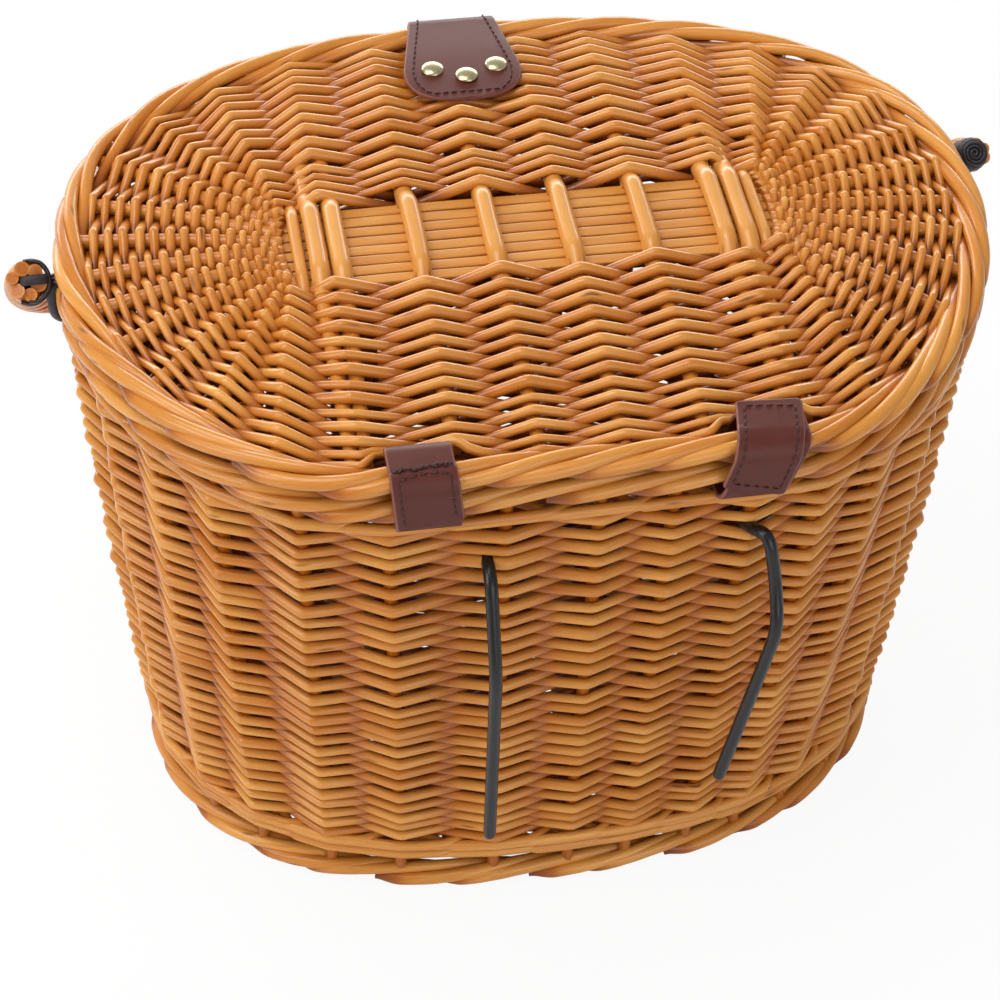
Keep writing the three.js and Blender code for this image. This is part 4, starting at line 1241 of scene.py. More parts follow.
@dataclass
class LidWeave:
    """The lid's flat weave between its core and its border."""

    plan: Plan
    finishes: Finishes
    rows: int = 27
    end_stakes: int = 11
    side_x: tuple[float, ...] = (86.2 * MM, 48.9 * MM, 16.3 * MM)
    border_x: tuple[float, ...] = (90 * MM, 50.5 * MM, 17 * MM)
    core_half_length: float = 102.5 * MM
    core_half_depth: float = 25.4 * MM
    edge_inset: float = 12.6 * MM
    sink: float = 1.2 * MM
    stick_radius: float = 4.1 * MM
    stake_radius: float = 3.2 * MM
    thickest: float = 2.6 * MM
    tight_rows: float = 6.0
    tight_pitch: float = 2.5 * MM
    strap_x: tuple[float, float] = (-66 * MM, 73 * MM)
    strap_half: float = 14.5 * MM
    strap_ease: float = 9 * MM
    strap_limit: float = -119.8 * MM
    pair_offset: float = 4.7 * MM
    rear_half: float = 95 * MM
    flap_x: float = -10.5 * MM
    flap_end_y: float = 84 * MM
    flap_lift: float = 4.25 * MM
    sides: int = 10
    seed: int = 23

    def __post_init__(self) -> None:
        """Places the stakes' inner and outer ends, anticlockwise from +X."""
        self.dice = np.random.default_rng(self.seed)
        plan = self.plan
        share = np.arange(1, self.end_stakes + 1) / (self.end_stakes + 1)
        dense = share + 0.26 * np.sin(2 * np.pi * share) / (2 * np.pi)
        front = plan.share_at_x(self.border_x[0], True)
        rear = plan.share_at_x(self.border_x[0], False) - 1
        right = rear + dense * (front - rear)
        y_end = -self.core_half_depth * np.cos(np.pi * (0.06 + 0.88 * share))
        bulge = 4 * MM * np.sin(np.pi * share)
        right_core = np.stack([self.core_half_length + bulge, y_end], 1)
        sides = np.array([*self.side_x, *[-x for x in reversed(self.side_x)]])
        outer = [*self.border_x, *[-x for x in reversed(self.border_x)]]
        front_shares = np.array([plan.share_at_x(x, True) for x in outer])
        rear_shares = np.array([plan.share_at_x(x, False) for x in reversed(outer)])
        depth = np.full(len(sides), self.core_half_depth)
        shares = np.concatenate([right, front_shares, 0.5 - right[::-1], rear_shares])
        front_core, rear_core = np.stack([sides, depth], 1), np.stack([sides[::-1], -depth], 1)
        left_core = (right_core * [-1, 1])[::-1]
        self.core = np.concatenate([right_core, front_core, left_core, rear_core])
        ends = np.sin(np.pi * share) ** 0.5
        flat = np.zeros(len(sides))
        self.endness = np.concatenate([ends, flat, ends[::-1], flat])
        self.edge = plan.at(shares, plan.levels.rim_border, self.edge_inset)[:, :2]
        self.reach = np.linalg.norm(self.edge - self.core, axis=1)
        self.stakes = len(shares)

    def pitches(self) -> Array:
        """Width of each round at each stake, all of them filling the stake's reach.

        Beside the core the rounds are wide and get narrower outwards, with a few thin
        ones near the core on the front; at the ends the first rounds are tight.

        Returns:
            Widths of shape (rows, stakes).
        """
        row = np.arange(self.rows)[:, None]
        uneven = self.dice.uniform(0.84, 1.16, (self.rows, 1))
        side = (1.2 - 0.42 * row / self.rows) * uneven
        front = (self.core[:, 1] > 0)[None, :]
        thin = front & (row > 0) & (row < 7)
        side = np.where(thin, 0.74, np.where(front & (row >= 7) & (row < 12), side * 1.22, side))
        side = side / side.sum(axis=0) * self.reach
        tight = np.clip(self.tight_rows + 0.5 - row, 0, 1)
        loose = (self.reach - self.tight_rows * self.tight_pitch) / (self.rows - self.tight_rows)
        end = tight * self.tight_pitch + (1 - tight) * loose * (0.5 + 0.5 * uneven)
        end = end / end.sum(axis=0) * self.reach
        return side + self.endness * (end - side)

    def crown(self, shares: Array) -> Array:
        """Height of the stakes' middle: the border's, less the sink, plus rise (1 - share^2)."""
        levels = self.plan.levels
        return levels.lid_border - self.sink + levels.lid_rise * (1 - shares**2)

    def stake_width(self, shares: Array, endness: Array) -> Array:
        """Radius of a stake: beside the core it tapers outwards, at the ends it is even."""
        beside = self.stick_radius * (1 - 0.3 * np.clip(shares, 0, 1))
        return beside + endness * (self.stake_radius - beside)

    def clear_of_straps(self, points: Array) -> Array:
        """Pushes points inwards where the hinge straps pass down through the lid.

        Args:
            points: Points of the weave.

        Returns:
            The points, none further back than the limit beside a strap.
        """
        y = points[..., 1]
        for x in self.strap_x:
            away = np.abs(points[..., 0] - x)
            near = 1 - smooth_step(away, self.strap_half, self.strap_half + self.strap_ease)
            beyond = np.minimum(y - self.strap_limit, 0)
            y = y - 0.88 * near * beyond
        moved = points.copy()
        moved[..., 1] = y
        return moved

    def rounds(self) -> Surface:
        """Every rod of the lid's weave.

        A rod runs straight between stakes in plan, and its height is the crown plus its
        side of the stakes times the sum of the stake's and its own radius.

        Returns:
            The rods' surface.
        """
        rounds = Rounds(self.rows, self.stakes, self.dice)
        pitch = self.pitches()
        out = (np.cumsum(pitch, axis=0) - pitch / 2) / self.reach
        near = self.endness * np.clip(1 - out * 3, 0, 1)
        out = out + self.dice.normal(0, 1, out.shape) * (0.003 + 0.007 * near)
        places = self.core + out[..., None] * (self.edge - self.core)
        plan, outness = rounds.mixed(places), rounds.mixed(out)
        width = rounds.mixed(pitch)
        endness = rounds.mixed(np.broadcast_to(self.endness, pitch.shape))
        radii = np.clip(0.6 * width * rounds.swelling(), 1.0 * MM, self.thickest)
        lift = self.stake_width(outness, endness) + radii - 0.15 * MM
        flat = 1 - smooth_step(np.abs(plan[..., 0] - self.flap_x), 27 * MM, 38 * MM)
        flat = flat * smooth_step(plan[..., 1], self.flap_end_y - 6 * MM, self.flap_end_y + 2 * MM)
        lift = lift + flat * (np.minimum(lift, self.flap_lift) - lift)
        height = self.crown(outness) + lift * rounds.wave
        paths = self.clear_of_straps(np.concatenate([plan, height[..., None]], -1))
        return tubes(paths, radii, self.sides, UP, rounds.looks(1.0))

    def stake_rods(self) -> Surface:
        """The lid's stakes, which run on from the core out into the border.

        The stakes that carry on a pair of sticks are two rods side by side, which draw
        together towards the border.

        Returns:
            The stakes' surface.
        """
        steps = 30
        travel = np.linspace(-0.03, 1.06, steps)[None, :, None]
        core, edge, endness = self.core.copy(), self.edge.copy(), self.endness
        paired = np.abs(np.abs(core[:, 0]) - self.side_x[0]) < 1e-6
        inward = np.sign(core[paired, :1]) * np.array([[self.pair_offset, 0.0]])
        core = np.concatenate([core, core[paired] - inward])
        edge = np.concatenate([edge, edge[paired] - 0.55 * inward])
        core[: self.stakes][paired] += inward
        edge[: self.stakes][paired] += 0.55 * inward
        endness = np.concatenate([endness, endness[paired]])
        rear = np.abs(core[:, :1]) < self.rear_half
        behind = rear & (core[:, 1:] < 0)
        edge = np.where(behind, core + 0.93 * (edge - core), edge)
        plan = core[:, None] + travel * (edge - core)[:, None]
        height = self.crown(np.clip(travel[..., 0], 0, 1)) * np.ones((len(core), 1))
        paths = self.clear_of_straps(np.concatenate([plan, height[..., None]], -1))
        radii = self.stake_width(travel[..., 0], endness[:, None])
        # The stakes get an even painted shade.
        looks = plain_looks(len(core), steps, self.dice, 0.3)
        looks[..., 0] *= 0.5
        return tubes(paths, radii, 14, UP, looks)

    def build(self) -> None:
        """Makes the lid's weave and its stakes; they stand for the CAD slab."""
        weave = self.plan.piece(self.rounds(), "lid_rounds")
        dress(weave, self.finishes.willow, Body.LID, ("lid_weave",))
        stakes = self.plan.piece(self.stake_rods(), "lid_stakes")
        dress(stakes, self.finishes.willow, Body.LID)


@dataclass
class LidCore:
    """The lid's middle panel: flat laths under round cross sticks."""

    plan: Plan
    finishes: Finishes
    laths: int = 8
    sticks: int = 10
    lath_half: float = 106 * MM
    lath_waver: float = 0.22 * MM
    stick_dip: float = 4.4 * MM
    dip_reach: tuple[float, float] = (17 * MM, 31 * MM)
    seed: int = 31

    def build(self) -> None:
        """Makes a detailed piece for each CAD lath and stick."""
        dice = np.random.default_rng(self.seed)
        for number in range(1, self.laths + 1):
            self.lath(f"lid_lath_{number}", dice)
        for number in range(1, self.sticks + 1):
            self.stick(f"lid_stick_{number}", dice)

    def lath(self, node: str, dice: np.random.Generator) -> None:
        """A split lath in its CAD node's box: flat, with rounded long edges.

        The section is w |cos a|^0.22 by t |sin a|^0.45, and both edges wander a little
        along the lath.

        Args:
            node: Name of the CAD node that it stands for.
            dice: Source of random numbers.
        """
        low, high = self.plan.box(node)
        middle = (low + high) / 2
        half = (high - low) / 2 + [0, 0.1 * MM, 0]
        half[0] = self.lath_half
        steps, sides = 90, 28
        along = np.linspace(-half[0], half[0], steps)[:, None]
        turn = 2 * np.pi * np.arange(sides) / sides
        across = np.sign(np.cos(turn)) * np.abs(np.cos(turn)) ** 0.22
        above = np.sign(np.sin(turn)) * np.abs(np.sin(turn)) ** 0.45
        edge = self.lath_waver * np.sin(along * dice.uniform(40, 90) + dice.uniform(0, 6))
        y = (half[1] - self.lath_waver) * across + edge
        z = half[2] * above * np.ones_like(along)
        x = np.broadcast_to(along, y.shape)
        rings = np.stack([middle[0] + x, middle[1] + y, middle[2] + z], -1)
        place = np.stack([x + dice.uniform(0, 3), y, z], -1)
        look = np.zeros_like(place)
        look[..., 0] = dice.uniform(0.0, 0.5)
        surface = closed_rings(rings[None], place[None], look[None])
        obj = self.plan.piece(surface, node.replace("lid_lath", "split_lath"))
        dress(obj, self.finishes.peeled, Body.LID, (node,))

    def stick(self, node: str, dice: np.random.Generator) -> None:
        """A round stick in its CAD node's box, whose ends dip under the first round.

        Args:
            node: Name of the CAD node that it stands for.
            dice: Source of random numbers.
        """
        low, high = self.plan.box(node)
        middle = (low + high) / 2
        radius = (high[2] - low[2]) / 2
        steps = 60
        y = np.linspace(high[1] + 2 * MM, low[1] - 2 * MM, steps)
        reach = np.abs(y - middle[1])
        bow = dice.uniform(-0.6, 0.6) * MM * np.cos(np.pi * (y - middle[1]) / (high[1] - low[1]))
        dip = -self.stick_dip * smooth_step(reach, *self.dip_reach)
        paths = np.stack([middle[0] + bow, y, middle[2] + dip], -1)[None]
        radii = radius * (1 + 0.04 * np.sin(y * 90 + dice.random() * 6) * dice.random())[None]
        looks = plain_looks(1, steps, dice)
        looks[..., 0] *= 0.45
        surface = tubes(paths, radii, 22, UP, looks)
        obj = self.plan.piece(surface, node.replace("lid_stick", "cross_stick"))
        dress(obj, self.finishes.peeled, Body.LID, (node,))


@dataclass
class Base:
    """The raised woven base: cross sticks with rods woven over and under them."""

    plan: Plan
    finishes: Finishes
    sticks: int = 6
    stick_pitch: float = 32.6 * MM
    rod_radius: float = 2.2 * MM
    crossing: float = 2.9 * MM
    height: float = 28.2 * MM
    spacing: float = 3.6 * MM
    wall_inset: float = 10.5 * MM
    seed: int = 41

    def build(self) -> None:
        """Makes the base weave and its sticks.

        Each rod runs across the basket at one depth, and its height is the base's plus
        the crossing height times its side of the sticks.
        """
        dice = np.random.default_rng(self.seed)
        edge = self.plan.at(np.linspace(0, 0.25, 400), self.height, self.wall_inset)
        rear = self.plan.at(np.linspace(1, 0.75, 400), self.height, self.wall_inset)
        deep = float(edge[:, 1].max())
        y = np.arange(-deep + self.spacing / 2, deep, self.spacing)
        reach_front = np.interp(y, edge[:, 1], edge[:, 0])
        reach_rear = np.interp(-y, -rear[:, 1], rear[:, 0])
        reach = np.where(y > 0, reach_front, reach_rear)
        steps = 90
        x = reach[:, None] * np.linspace(-1, 1, steps)
        position = x / self.stick_pitch + (self.sticks - 1) / 2
        row = np.arange(len(y))[:, None]
        z = self.height + self.crossing * crossing_wave(position + row, 0.97)
        paths = np.stack([x, y[:, None] * np.ones_like(x), z], -1)
        radii = self.rod_radius * dice.uniform(0.92, 1.08, (len(y), 1))
        # The base rods get a slight even painted shade.
        surface = tubes(paths, radii, 8, UP, plain_looks(len(y), steps, dice, 0.2))
        obj = self.plan.piece(surface, "base_rods")
        dress(obj, self.finishes.willow, Body.BASKET, ("base_panel",))
        for number in range(1, self.sticks + 1):
            self.stick(f"base_stick_{number}", dice)

    def stick(self, node: str, dice: np.random.Generator) -> None:
        """A round base stick along its CAD node.

        Args:
            node: Name of the CAD node that it stands for.
            dice: Source of random numbers.
        """
        low, high = self.plan.box(node)
        middle = (low + high) / 2
        y = np.linspace(high[1], low[1], 30)
        paths = np.stack([np.full(30, middle[0]), y, np.full(30, self.height)], -1)[None]
        radii = np.full((1, 30), (high[2] - low[2]) / 2)
        surface = tubes(paths, radii, 14, UP, plain_looks(1, 30, dice))
        obj = self.plan.piece(surface, node.replace("base_stick", "base_rib"))
        dress(obj, self.finishes.peeled, Body.BASKET, (node,))


@dataclass
class Handle:
    """The carry handle: rods twisted round a hollow, hung by cord ties."""

    plan: Plan
    finishes: Finishes
    middle: Triple = (-1.176 * MM, 30 * MM, 266.5 * MM)
    half_span: float = 211.34 * MM
    yaw: float = 4.0701
    reach: float = 185.4 * MM
    power: float = 2.6
    stub: float = 10 * MM
    bundle_radius: float = 9.3 * MM
    rods: int = 6
    rod_radius: float = 3.12 * MM
    turns: float = 6.0
    rest_angle: float = -45.0
    cord_radius: float = 2.0 * MM
    cord_bend: float = 5 * MM
    cord_slant: float = 3 * MM
    loop_height: float = 22.5 * MM
    loop_inner: float = 176.3 * MM
    loops: tuple[tuple[float, float], ...] = ((-6.5, 3.0), (-2.5, 1.5), (1.5, 0.0))
    strand: tuple[tuple[float, float], ...] = (
        (-2.4, 6.0), (-1.6, 11.4), (4.0, 11.8), (9.6, 10.4), (10.4, 2.0),
    )
    winding_radius: float = 2.1 * MM
    part_turns: tuple[Triple, ...] = ((-0.5, 0.42, 8.4), (-0.62, 0.5, 4.6))
    closing_turns: float = 11.0
    seed: int = 53

    def in_frame(self, points: Array) -> Array:
        """Turns points from the handle's own axes, midway between its pivots, to the basket's."""
        turn = math.radians(self.yaw)
        x = points[..., 0] * math.cos(turn) - points[..., 1] * math.sin(turn)
        y = points[..., 0] * math.sin(turn) + points[..., 1] * math.cos(turn)
        return np.stack([x, y, points[..., 2]], -1) + self.middle

    def bundle(self) -> Surface:
        """The twisted rods: each circles the middle line at the same distance.

        In its own plane the arch is x = span |cos|^(2/p), y = reach |sin|^(2/p), with a
        straight stub behind each pivot; the plane is then turned about the pivots.

        Returns:
            The rods' surface.
        """
        dice = np.random.default_rng(self.seed)
        steps = 460
        turn = np.linspace(0, np.pi, 500)
        c, s = np.cos(turn), np.clip(np.sin(turn), 0, 1)
        arch = np.stack([np.sign(c) * np.abs(c) ** (2 / self.power), s ** (2 / self.power)], 1)
        arch = arch * [self.half_span, self.reach]
        ends = np.array([[self.half_span, -self.stub], [-self.half_span, -self.stub]])
        line = resampled(np.concatenate([ends[:1], arch, ends[1:]]), steps)
        tilt = math.radians(self.rest_angle)
        line = np.stack([line[:, 0], line[:, 1] * math.cos(tilt), line[:, 1] * math.sin(tilt)], 1)
        square = np.array([0.0, -math.sin(tilt), math.cos(tilt)])
        tangent = unit(np.gradient(line, axis=0))
        side = unit(np.cross(tangent, square))
        share = np.linspace(0, 1, steps)
        start = (np.arange(self.rods) + 0.35)[:, None] / self.rods
        angle = 2 * np.pi * (start + self.turns * share[None, :])
        radii = self.rod_radius * dice.uniform(0.88, 1.1, (self.rods, 1))
        reach = self.bundle_radius - radii
        left_end = smooth_step(share, 0.94, 0.99)
        right_end = 1 - smooth_step(share, 0.008, 0.03)
        reach = reach * (1 - 0.1 * left_end - 0.42 * right_end)
        round_it = np.cos(angle)[..., None] * side + np.sin(angle)[..., None] * square
        paths = line + reach[..., None] * round_it
        # The handle's rods get a slight even painted shade.
        looks = plain_looks(self.rods, steps, dice, 0.15)
        surface = tubes(paths, radii, 18, round_it, looks)
        surface.points = self.in_frame(surface.points)
        return surface

    def tie(self, side: float) -> Surface:
        """The cord loops that lash the handle's end to the rim, beside the bundle.

        Args:
            side: -1 for the left tie and 1 for the right.

        Returns:
            The tie's surface.
        """
        dice = np.random.default_rng(self.seed + int(side) + 3)
        outer = self.half_span - self.bundle_radius - 1.2 * MM
        low = -self.loop_height
        steps = 200
        strands = []
        for along, drop in self.loops:
            across = along * MM
            corners = [
                [self.loop_inner, across, 0.0],
                [outer, across, drop * MM],
                [outer + 0.8 * MM, across, low / 2],
                [outer - 1.5 * MM, across + self.cord_slant, low + drop * MM],
                [self.loop_inner, across + self.cord_slant, low],
                [self.loop_inner, across, low / 2],
            ]
            line = rounded_line(np.array(corners) * [side, 1, 1], self.cord_bend)
            strands.append(resampled(line, steps))
        paths = self.in_frame(np.array(strands))
        looks = plain_looks(len(strands), steps, dice)
        reference = np.array([0.31, 0.93, 0.2])
        return tubes(paths, np.array([[self.cord_radius * 1.15]]), 12, reference, looks, 0.7)

    def wrap(self, side: float) -> Surface:
        """Flat cord wound round the bundle's end and out of its hollow, tied to the handle.

        A turn of the winding stands at R cos a towards the basket and R sin a square to
        that. On the right the turns run to the end and close over the cut rods.

        Args:
            side: -1 for the left end and 1 for the right.

        Returns:
            The winding's surface.
        """
        dice = np.random.default_rng(self.seed + int(side) + 9)
        tilt = math.radians(self.rest_angle)
        back = np.array([0.0, -math.cos(tilt), -math.sin(tilt)])
        inward = np.array([-side, 0.0, 0.0])
        square = np.cross(back, inward) * -side
        pivot = np.array([side * self.half_span, 0.0, 0.0])
        steps = 240
        share = np.linspace(0, 1, steps)[:, None]
        if side < 0:
            turn = [np.pi * (low + (high - low) * share) for low, high, _ in self.part_turns]
            rest = [behind * MM for _, _, behind in self.part_turns]
            tuck = 1 - 0.12 * (1 - smooth_step(np.minimum(share, 1 - share), 0, 0.2))
            radius = [(self.bundle_radius + 0.5 * MM) * tuck] * len(turn)
        else:
            turn = [2 * np.pi * self.closing_turns * share]
            rest = [(-5 + 15.4 * smooth_step(share, 0, 0.8)) * MM]
            closing = np.sqrt(np.clip(1 - smooth_step(share, 0.5, 1.0), 0.02, 1))
            radius = [self.bundle_radius * 0.72 * closing]
            pivot = pivot + 1.5 * MM * inward
        strands, radials = [], []
        for angle, away, reach in zip(turn, rest, radius):
            out = np.cos(angle) * inward + np.sin(angle) * square
            strands.append(pivot + reach * out + away * back)
            radials.append(out)
        if side < 0:
            line = resampled(rounded_line(np.array(self.strand) * MM, 3 * MM), steps)
            strands.append(pivot + line[:, :1] * inward + line[:, 1:] * back)
            radials.append(np.broadcast_to(unit(inward + back), strands[-1].shape))
        paths = self.in_frame(np.array(strands))
        origin = self.in_frame(np.zeros(3))
        reference = self.in_frame(np.array(radials)) - origin
        looks = plain_looks(len(strands), steps, dice)
        return tubes(paths, np.array([[self.winding_radius]]), 14, reference, looks, 0.45)

    def build(self) -> None:
        """Makes the handle, its cord windings and both ties."""
        obj = self.plan.piece(self.bundle(), "handle_rods")
        dress(obj, self.finishes.peeled, Body.HANDLE, ("carry_handle",))
        for side, word in ((-1.0, "left"), (1.0, "right")):
            tie = self.plan.piece(self.tie(side), f"lashing_{word}")
            dress(tie, self.finishes.cord, Body.BASKET, (f"handle_tie_{word}",))
            wrap = self.plan.piece(self.wrap(side), f"handle_winding_{word}")
            dress(wrap, self.finishes.cord, Body.HANDLE)


@dataclass
class Hooks:
    """The coated rod that hangs the basket: two hooks joined inside the wall."""

    plan: Plan
    finishes: Finishes
    radius: float = 2.75 * MM
    left_x: float = -39 * MM
    left_z: float = 232 * MM
    right_x: float = 64 * MM
    right_z: float = 235 * MM
    stand: float = 28 * MM
    left_leg: float = 145 * MM
    right_leg: float = 125 * MM
    left_knee: float = 40 * MM
    right_knee: float = 32 * MM
    right_rise: float = 7.6 * MM
    right_offset: float = 13 * MM
    right_lean: float = 17 * MM
    bend_share: float = 0.67
    bend: float = 9 * MM

    def build(self) -> None:
        """Makes the bent rod inside its CAD node's box."""
        low, high = self.plan.box("hook_bracket")
        out_y = low[1] + self.radius
        inside_y = high[1] - self.radius
        near_y = out_y + self.stand - 3 * self.radius
        bend_y = out_y + self.stand * (1 - self.bend_share)
        right_x = self.right_x
        top_z = self.right_z + self.right_rise
        right_end = self.right_z - self.right_leg
        corners = [
            [self.left_x, out_y, self.left_z - self.left_leg],
            [self.left_x, out_y, self.left_z - self.left_knee],
            [self.left_x, near_y, self.left_z],
            [self.left_x, inside_y, self.left_z],
            [right_x, inside_y, self.right_z],
            [right_x + 0.3 * self.right_offset, near_y + 6 * MM, self.right_z + 3 * MM],
            [right_x + 0.75 * self.right_offset, near_y - 3 * MM, top_z],
            [right_x + self.right_offset, bend_y, self.right_z - self.right_knee / 2],
            [right_x + self.right_offset, out_y, self.right_z - self.right_knee],
            [right_x + self.right_offset - self.right_lean, out_y, right_end],
        ]
        steps = 480
        line = resampled(rounded_line(np.array(corners), self.bend), steps)
        ends = np.minimum(np.arange(steps), np.arange(steps)[::-1])
        radii = self.radius * np.sqrt(np.clip(1 - (1 - np.clip(ends / 3, 0, 1)) ** 2 * 0.6, 0, 1))
        looks = np.zeros((1, steps, 3))
        surface = tubes(line[None], radii[None], 20, unit(np.array([1.0, -1.0, 0.5])), looks)
        obj = self.plan.piece(surface, "bent_hook_rod")
        dress(obj, self.finishes.coated, Body.BASKET, ("hook_bracket",))


@dataclass
class Seam:
    """Places of the stitches along a line on a leather piece."""

    pitch: float = 3.9 * MM
    length: float = 2.5 * MM
    radius: float = 0.42 * MM

    def stitches(self, line: Array, normals: Array, dice: np.random.Generator) -> Surface:
        """Short threads along a line, each arched a little over the leather.

        A thread's points stand at t half lengths along the line and at r (0.9 - 1.5 t^2)
        above it.

        Args:
            line: Points of shape (any, 3) on the leather's face.
            normals: Face directions at those points; they broadcast to the line.
            dice: Source of random numbers.

        Returns:
            The threads' surface.
        """
        length = run_length(line)
        count = max(2, round(length[-1] / self.pitch))
        both = np.concatenate([line, np.broadcast_to(normals, line.shape)], 1)
        target = (np.arange(count) + 0.5) / count * length[-1]
        spots = read_along(both, length, target)
        nearby = 0.2 * MM
        ahead = read_along(line, length, target + nearby)
        way = unit(ahead - read_along(line, length, target - nearby))[:, None]
        normal = unit(spots[:, 3:])[:, None]
        t = np.linspace(-1, 1, 5)[None, :, None]
        half = self.length / 2 * dice.uniform(0.9, 1.1, (count, 1, 1))
        paths = spots[:, None, :3] + t * half * way + self.radius * (0.9 - 1.5 * t**2) * normal
        looks = plain_looks(count, 5, dice)
        return tubes(paths, np.array([[self.radius]]), 6, normal, looks)


@dataclass
class LeatherWork:
    """Hinge straps, closure flap and tongue, their stitches and their brass."""

    plan: Plan
    finishes: Finishes
    strap_width: float = 27 * MM
    strap_leather: float = 2 * MM
    strap_reach: float = 13 * MM
    strap_gap: float = 0.4 * MM
    strap_bend: float = 6.4 * MM
    flap_x: float = -10.5 * MM
    flap_leather: float = 1.9 * MM
    flap_half_widest: float = 26.5 * MM
    flap_half_fold: float = 19.5 * MM
    flap_corner: float = 22 * MM
    flap_seam_inset: float = 4.4 * MM
    strap_corner: float = 1.2 * MM
    seam_inset: float = 3.3 * MM
    lock_seam_inset: float = 3.0 * MM
    dome_radius: float = 5.1 * MM
    dome_rise: float = 1.9
    seed: int = 61

    def build(self) -> None:
        """Makes every leather piece with its stitches, then dresses the brass."""
        self.dice = np.random.default_rng(self.seed)
        self.strap("left", (-66 * MM, -63.5 * MM), 139.5 * MM, 265 * MM)
        self.strap("right", (75 * MM, 65.5 * MM), 121.5 * MM, 266 * MM)
        self.flap()
        self.domes()
        self.lock_leather()
        self.carried_over()

    def strap_line(self, start: float, tail: float) -> Array:
        """Middle line, in y and z, of a strap's outer layer: over the border and down.

        Args:
            start: How far behind the basket's axis its upper edge lies.
            tail: Height of its lower end.

        Returns:
            Points of shape (80, 2).
        """
        levels = self.plan.levels
        gap = self.strap_gap + 1.5 * self.strap_leather
        top = levels.lid_border + levels.border_radius + gap
        rear = levels.rear_border_y - levels.border_radius - gap
        corner = levels.border_radius + gap
        turn = np.radians(np.linspace(90, 180, 24))
        arc = corner * np.stack([np.cos(turn), np.sin(turn)], 1) + [rear + corner, top - corner]
        if -start < rear + corner:
            arc = arc[arc[:, 0] < -start]
            return resampled(np.concatenate([arc, [[rear, tail]]]), 80)
        return resampled(np.concatenate([[[-start, top]], arc, [[rear, tail]]]), 80)

    def strap(self, word: str, lean: tuple[float, float], start: float, tail: float) -> None:
        """One hinge strap: a loop round both borders under a stitched outer layer.

        Args:
            word: Which strap it is.
            lean: Where the outer layer's middle starts and ends along the basket.
            start: How far behind the axis the outer layer starts.
            tail: Height of the outer layer's lower end.
        """
        levels = self.plan.levels
        gap = self.strap_gap + self.strap_leather / 2
        top = levels.lid_border + levels.border_radius + gap
        low = levels.rim_border - levels.border_radius - gap
        rear = levels.rear_border_y - levels.border_radius - gap
        front = levels.rear_border_y + self.strap_reach + self.strap_leather / 2
        middle = (low + top) / 2
        square = [[front, top], [rear, top], [rear, low], [front, low]]
        corners = np.array([[front, middle], *square, [front, middle]])
        loop = resampled(rounded_line(corners, self.strap_bend), 140)
        across = np.array([-1.0, 0.0, 0.0])
        down = np.clip((top - loop[:, 1]) / (top - low), 0, 1)
        path = np.stack([lean[0] + (lean[1] - lean[0]) * down, *loop.T], 1)
        half = np.full(len(path), self.strap_width / 2 - 0.15 * MM)
        surface = leather_band(path, half, self.strap_leather, across, 0.3)
        outer = self.strap_line(start, tail)
        share = np.linspace(0, 1, len(outer))
        x = lean[0] + (lean[1] - lean[0]) * share**1.3
        path = np.stack([x, *outer.T], 1)
        tangent = unit(np.gradient(path, axis=0))
        wide = unit(across - tangent * (tangent @ across)[:, None])
        half = np.full(len(path), self.strap_width / 2)
        corner = self.strap_corner
        run = share * np.linalg.norm(np.diff(path, axis=0), axis=1).sum()
        left = np.minimum(run, run[-1] - run)
        inward = 1 - np.clip(left / corner, 0, 1)
        half = half - corner * (1 - np.sqrt(np.clip(1 - inward**2, 0, 1)))
        surface = surface.joined(leather_band(path, half, self.strap_leather, wide, 0.0))
        obj = self.plan.piece(surface, f"strap_{word}")
        dress(obj, self.finishes.leather, Body.BASKET, (f"hinge_strap_{word}",))
        normal = np.cross(wide, tangent)
        face = path + normal * self.strap_leather / 2
        inside = self.strap_width / 2 - self.seam_inset
        keep = (run > self.seam_inset) & (run < run[-1] - self.seam_inset * 0.8)
        lines = [(face + side * inside * wide)[keep] for side in (-1, 1)]
        first, last = np.flatnonzero(keep)[[0, -1]]
        share = np.linspace(-1, 1, 30)[:, None]
        bow = (1 - share**2) * (1.5 * MM if word == "left" else 0.0)
        ends = ((first, -1),) if word == "left" else ((first, -1), (last, 0))
        for row, sign in ends:
            lines.append(face[row] + share * inside * wide[row] + sign * bow * tangent[row])
        rows = [normal[keep], normal[keep], normal[first], normal[last]]
        seams = [Seam().stitches(line, way, self.dice) for line, way in zip(lines, rows)]
        if word == "left":
            ridge = face[2] + np.linspace(-1, 1, 40)[:, None] * (inside + 1 * MM) * wide[2]
            ridge = ridge - tangent[2] * 1.1 * MM + normal[2] * 0.2 * MM
            coarse = Seam(1.5 * MM, 2.0 * MM, 0.5 * MM)
            jitter = self.dice.normal(0, 0.35 * MM, ridge.shape)
            seams.append(coarse.stitches(ridge + jitter, normal[2], self.dice))
        self.sew(seams, f"strap_{word}_stitches", Body.BASKET)

    def sew(self, seams: list[Surface], name: str, body: Body) -> None:
        """Joins seams into one named piece of thread that rides on a body."""
        thread = seams[0]
        for seam in seams[1:]:
            thread = thread.joined(seam)
        dress(self.plan.piece(thread, name), self.finishes.thread, body)

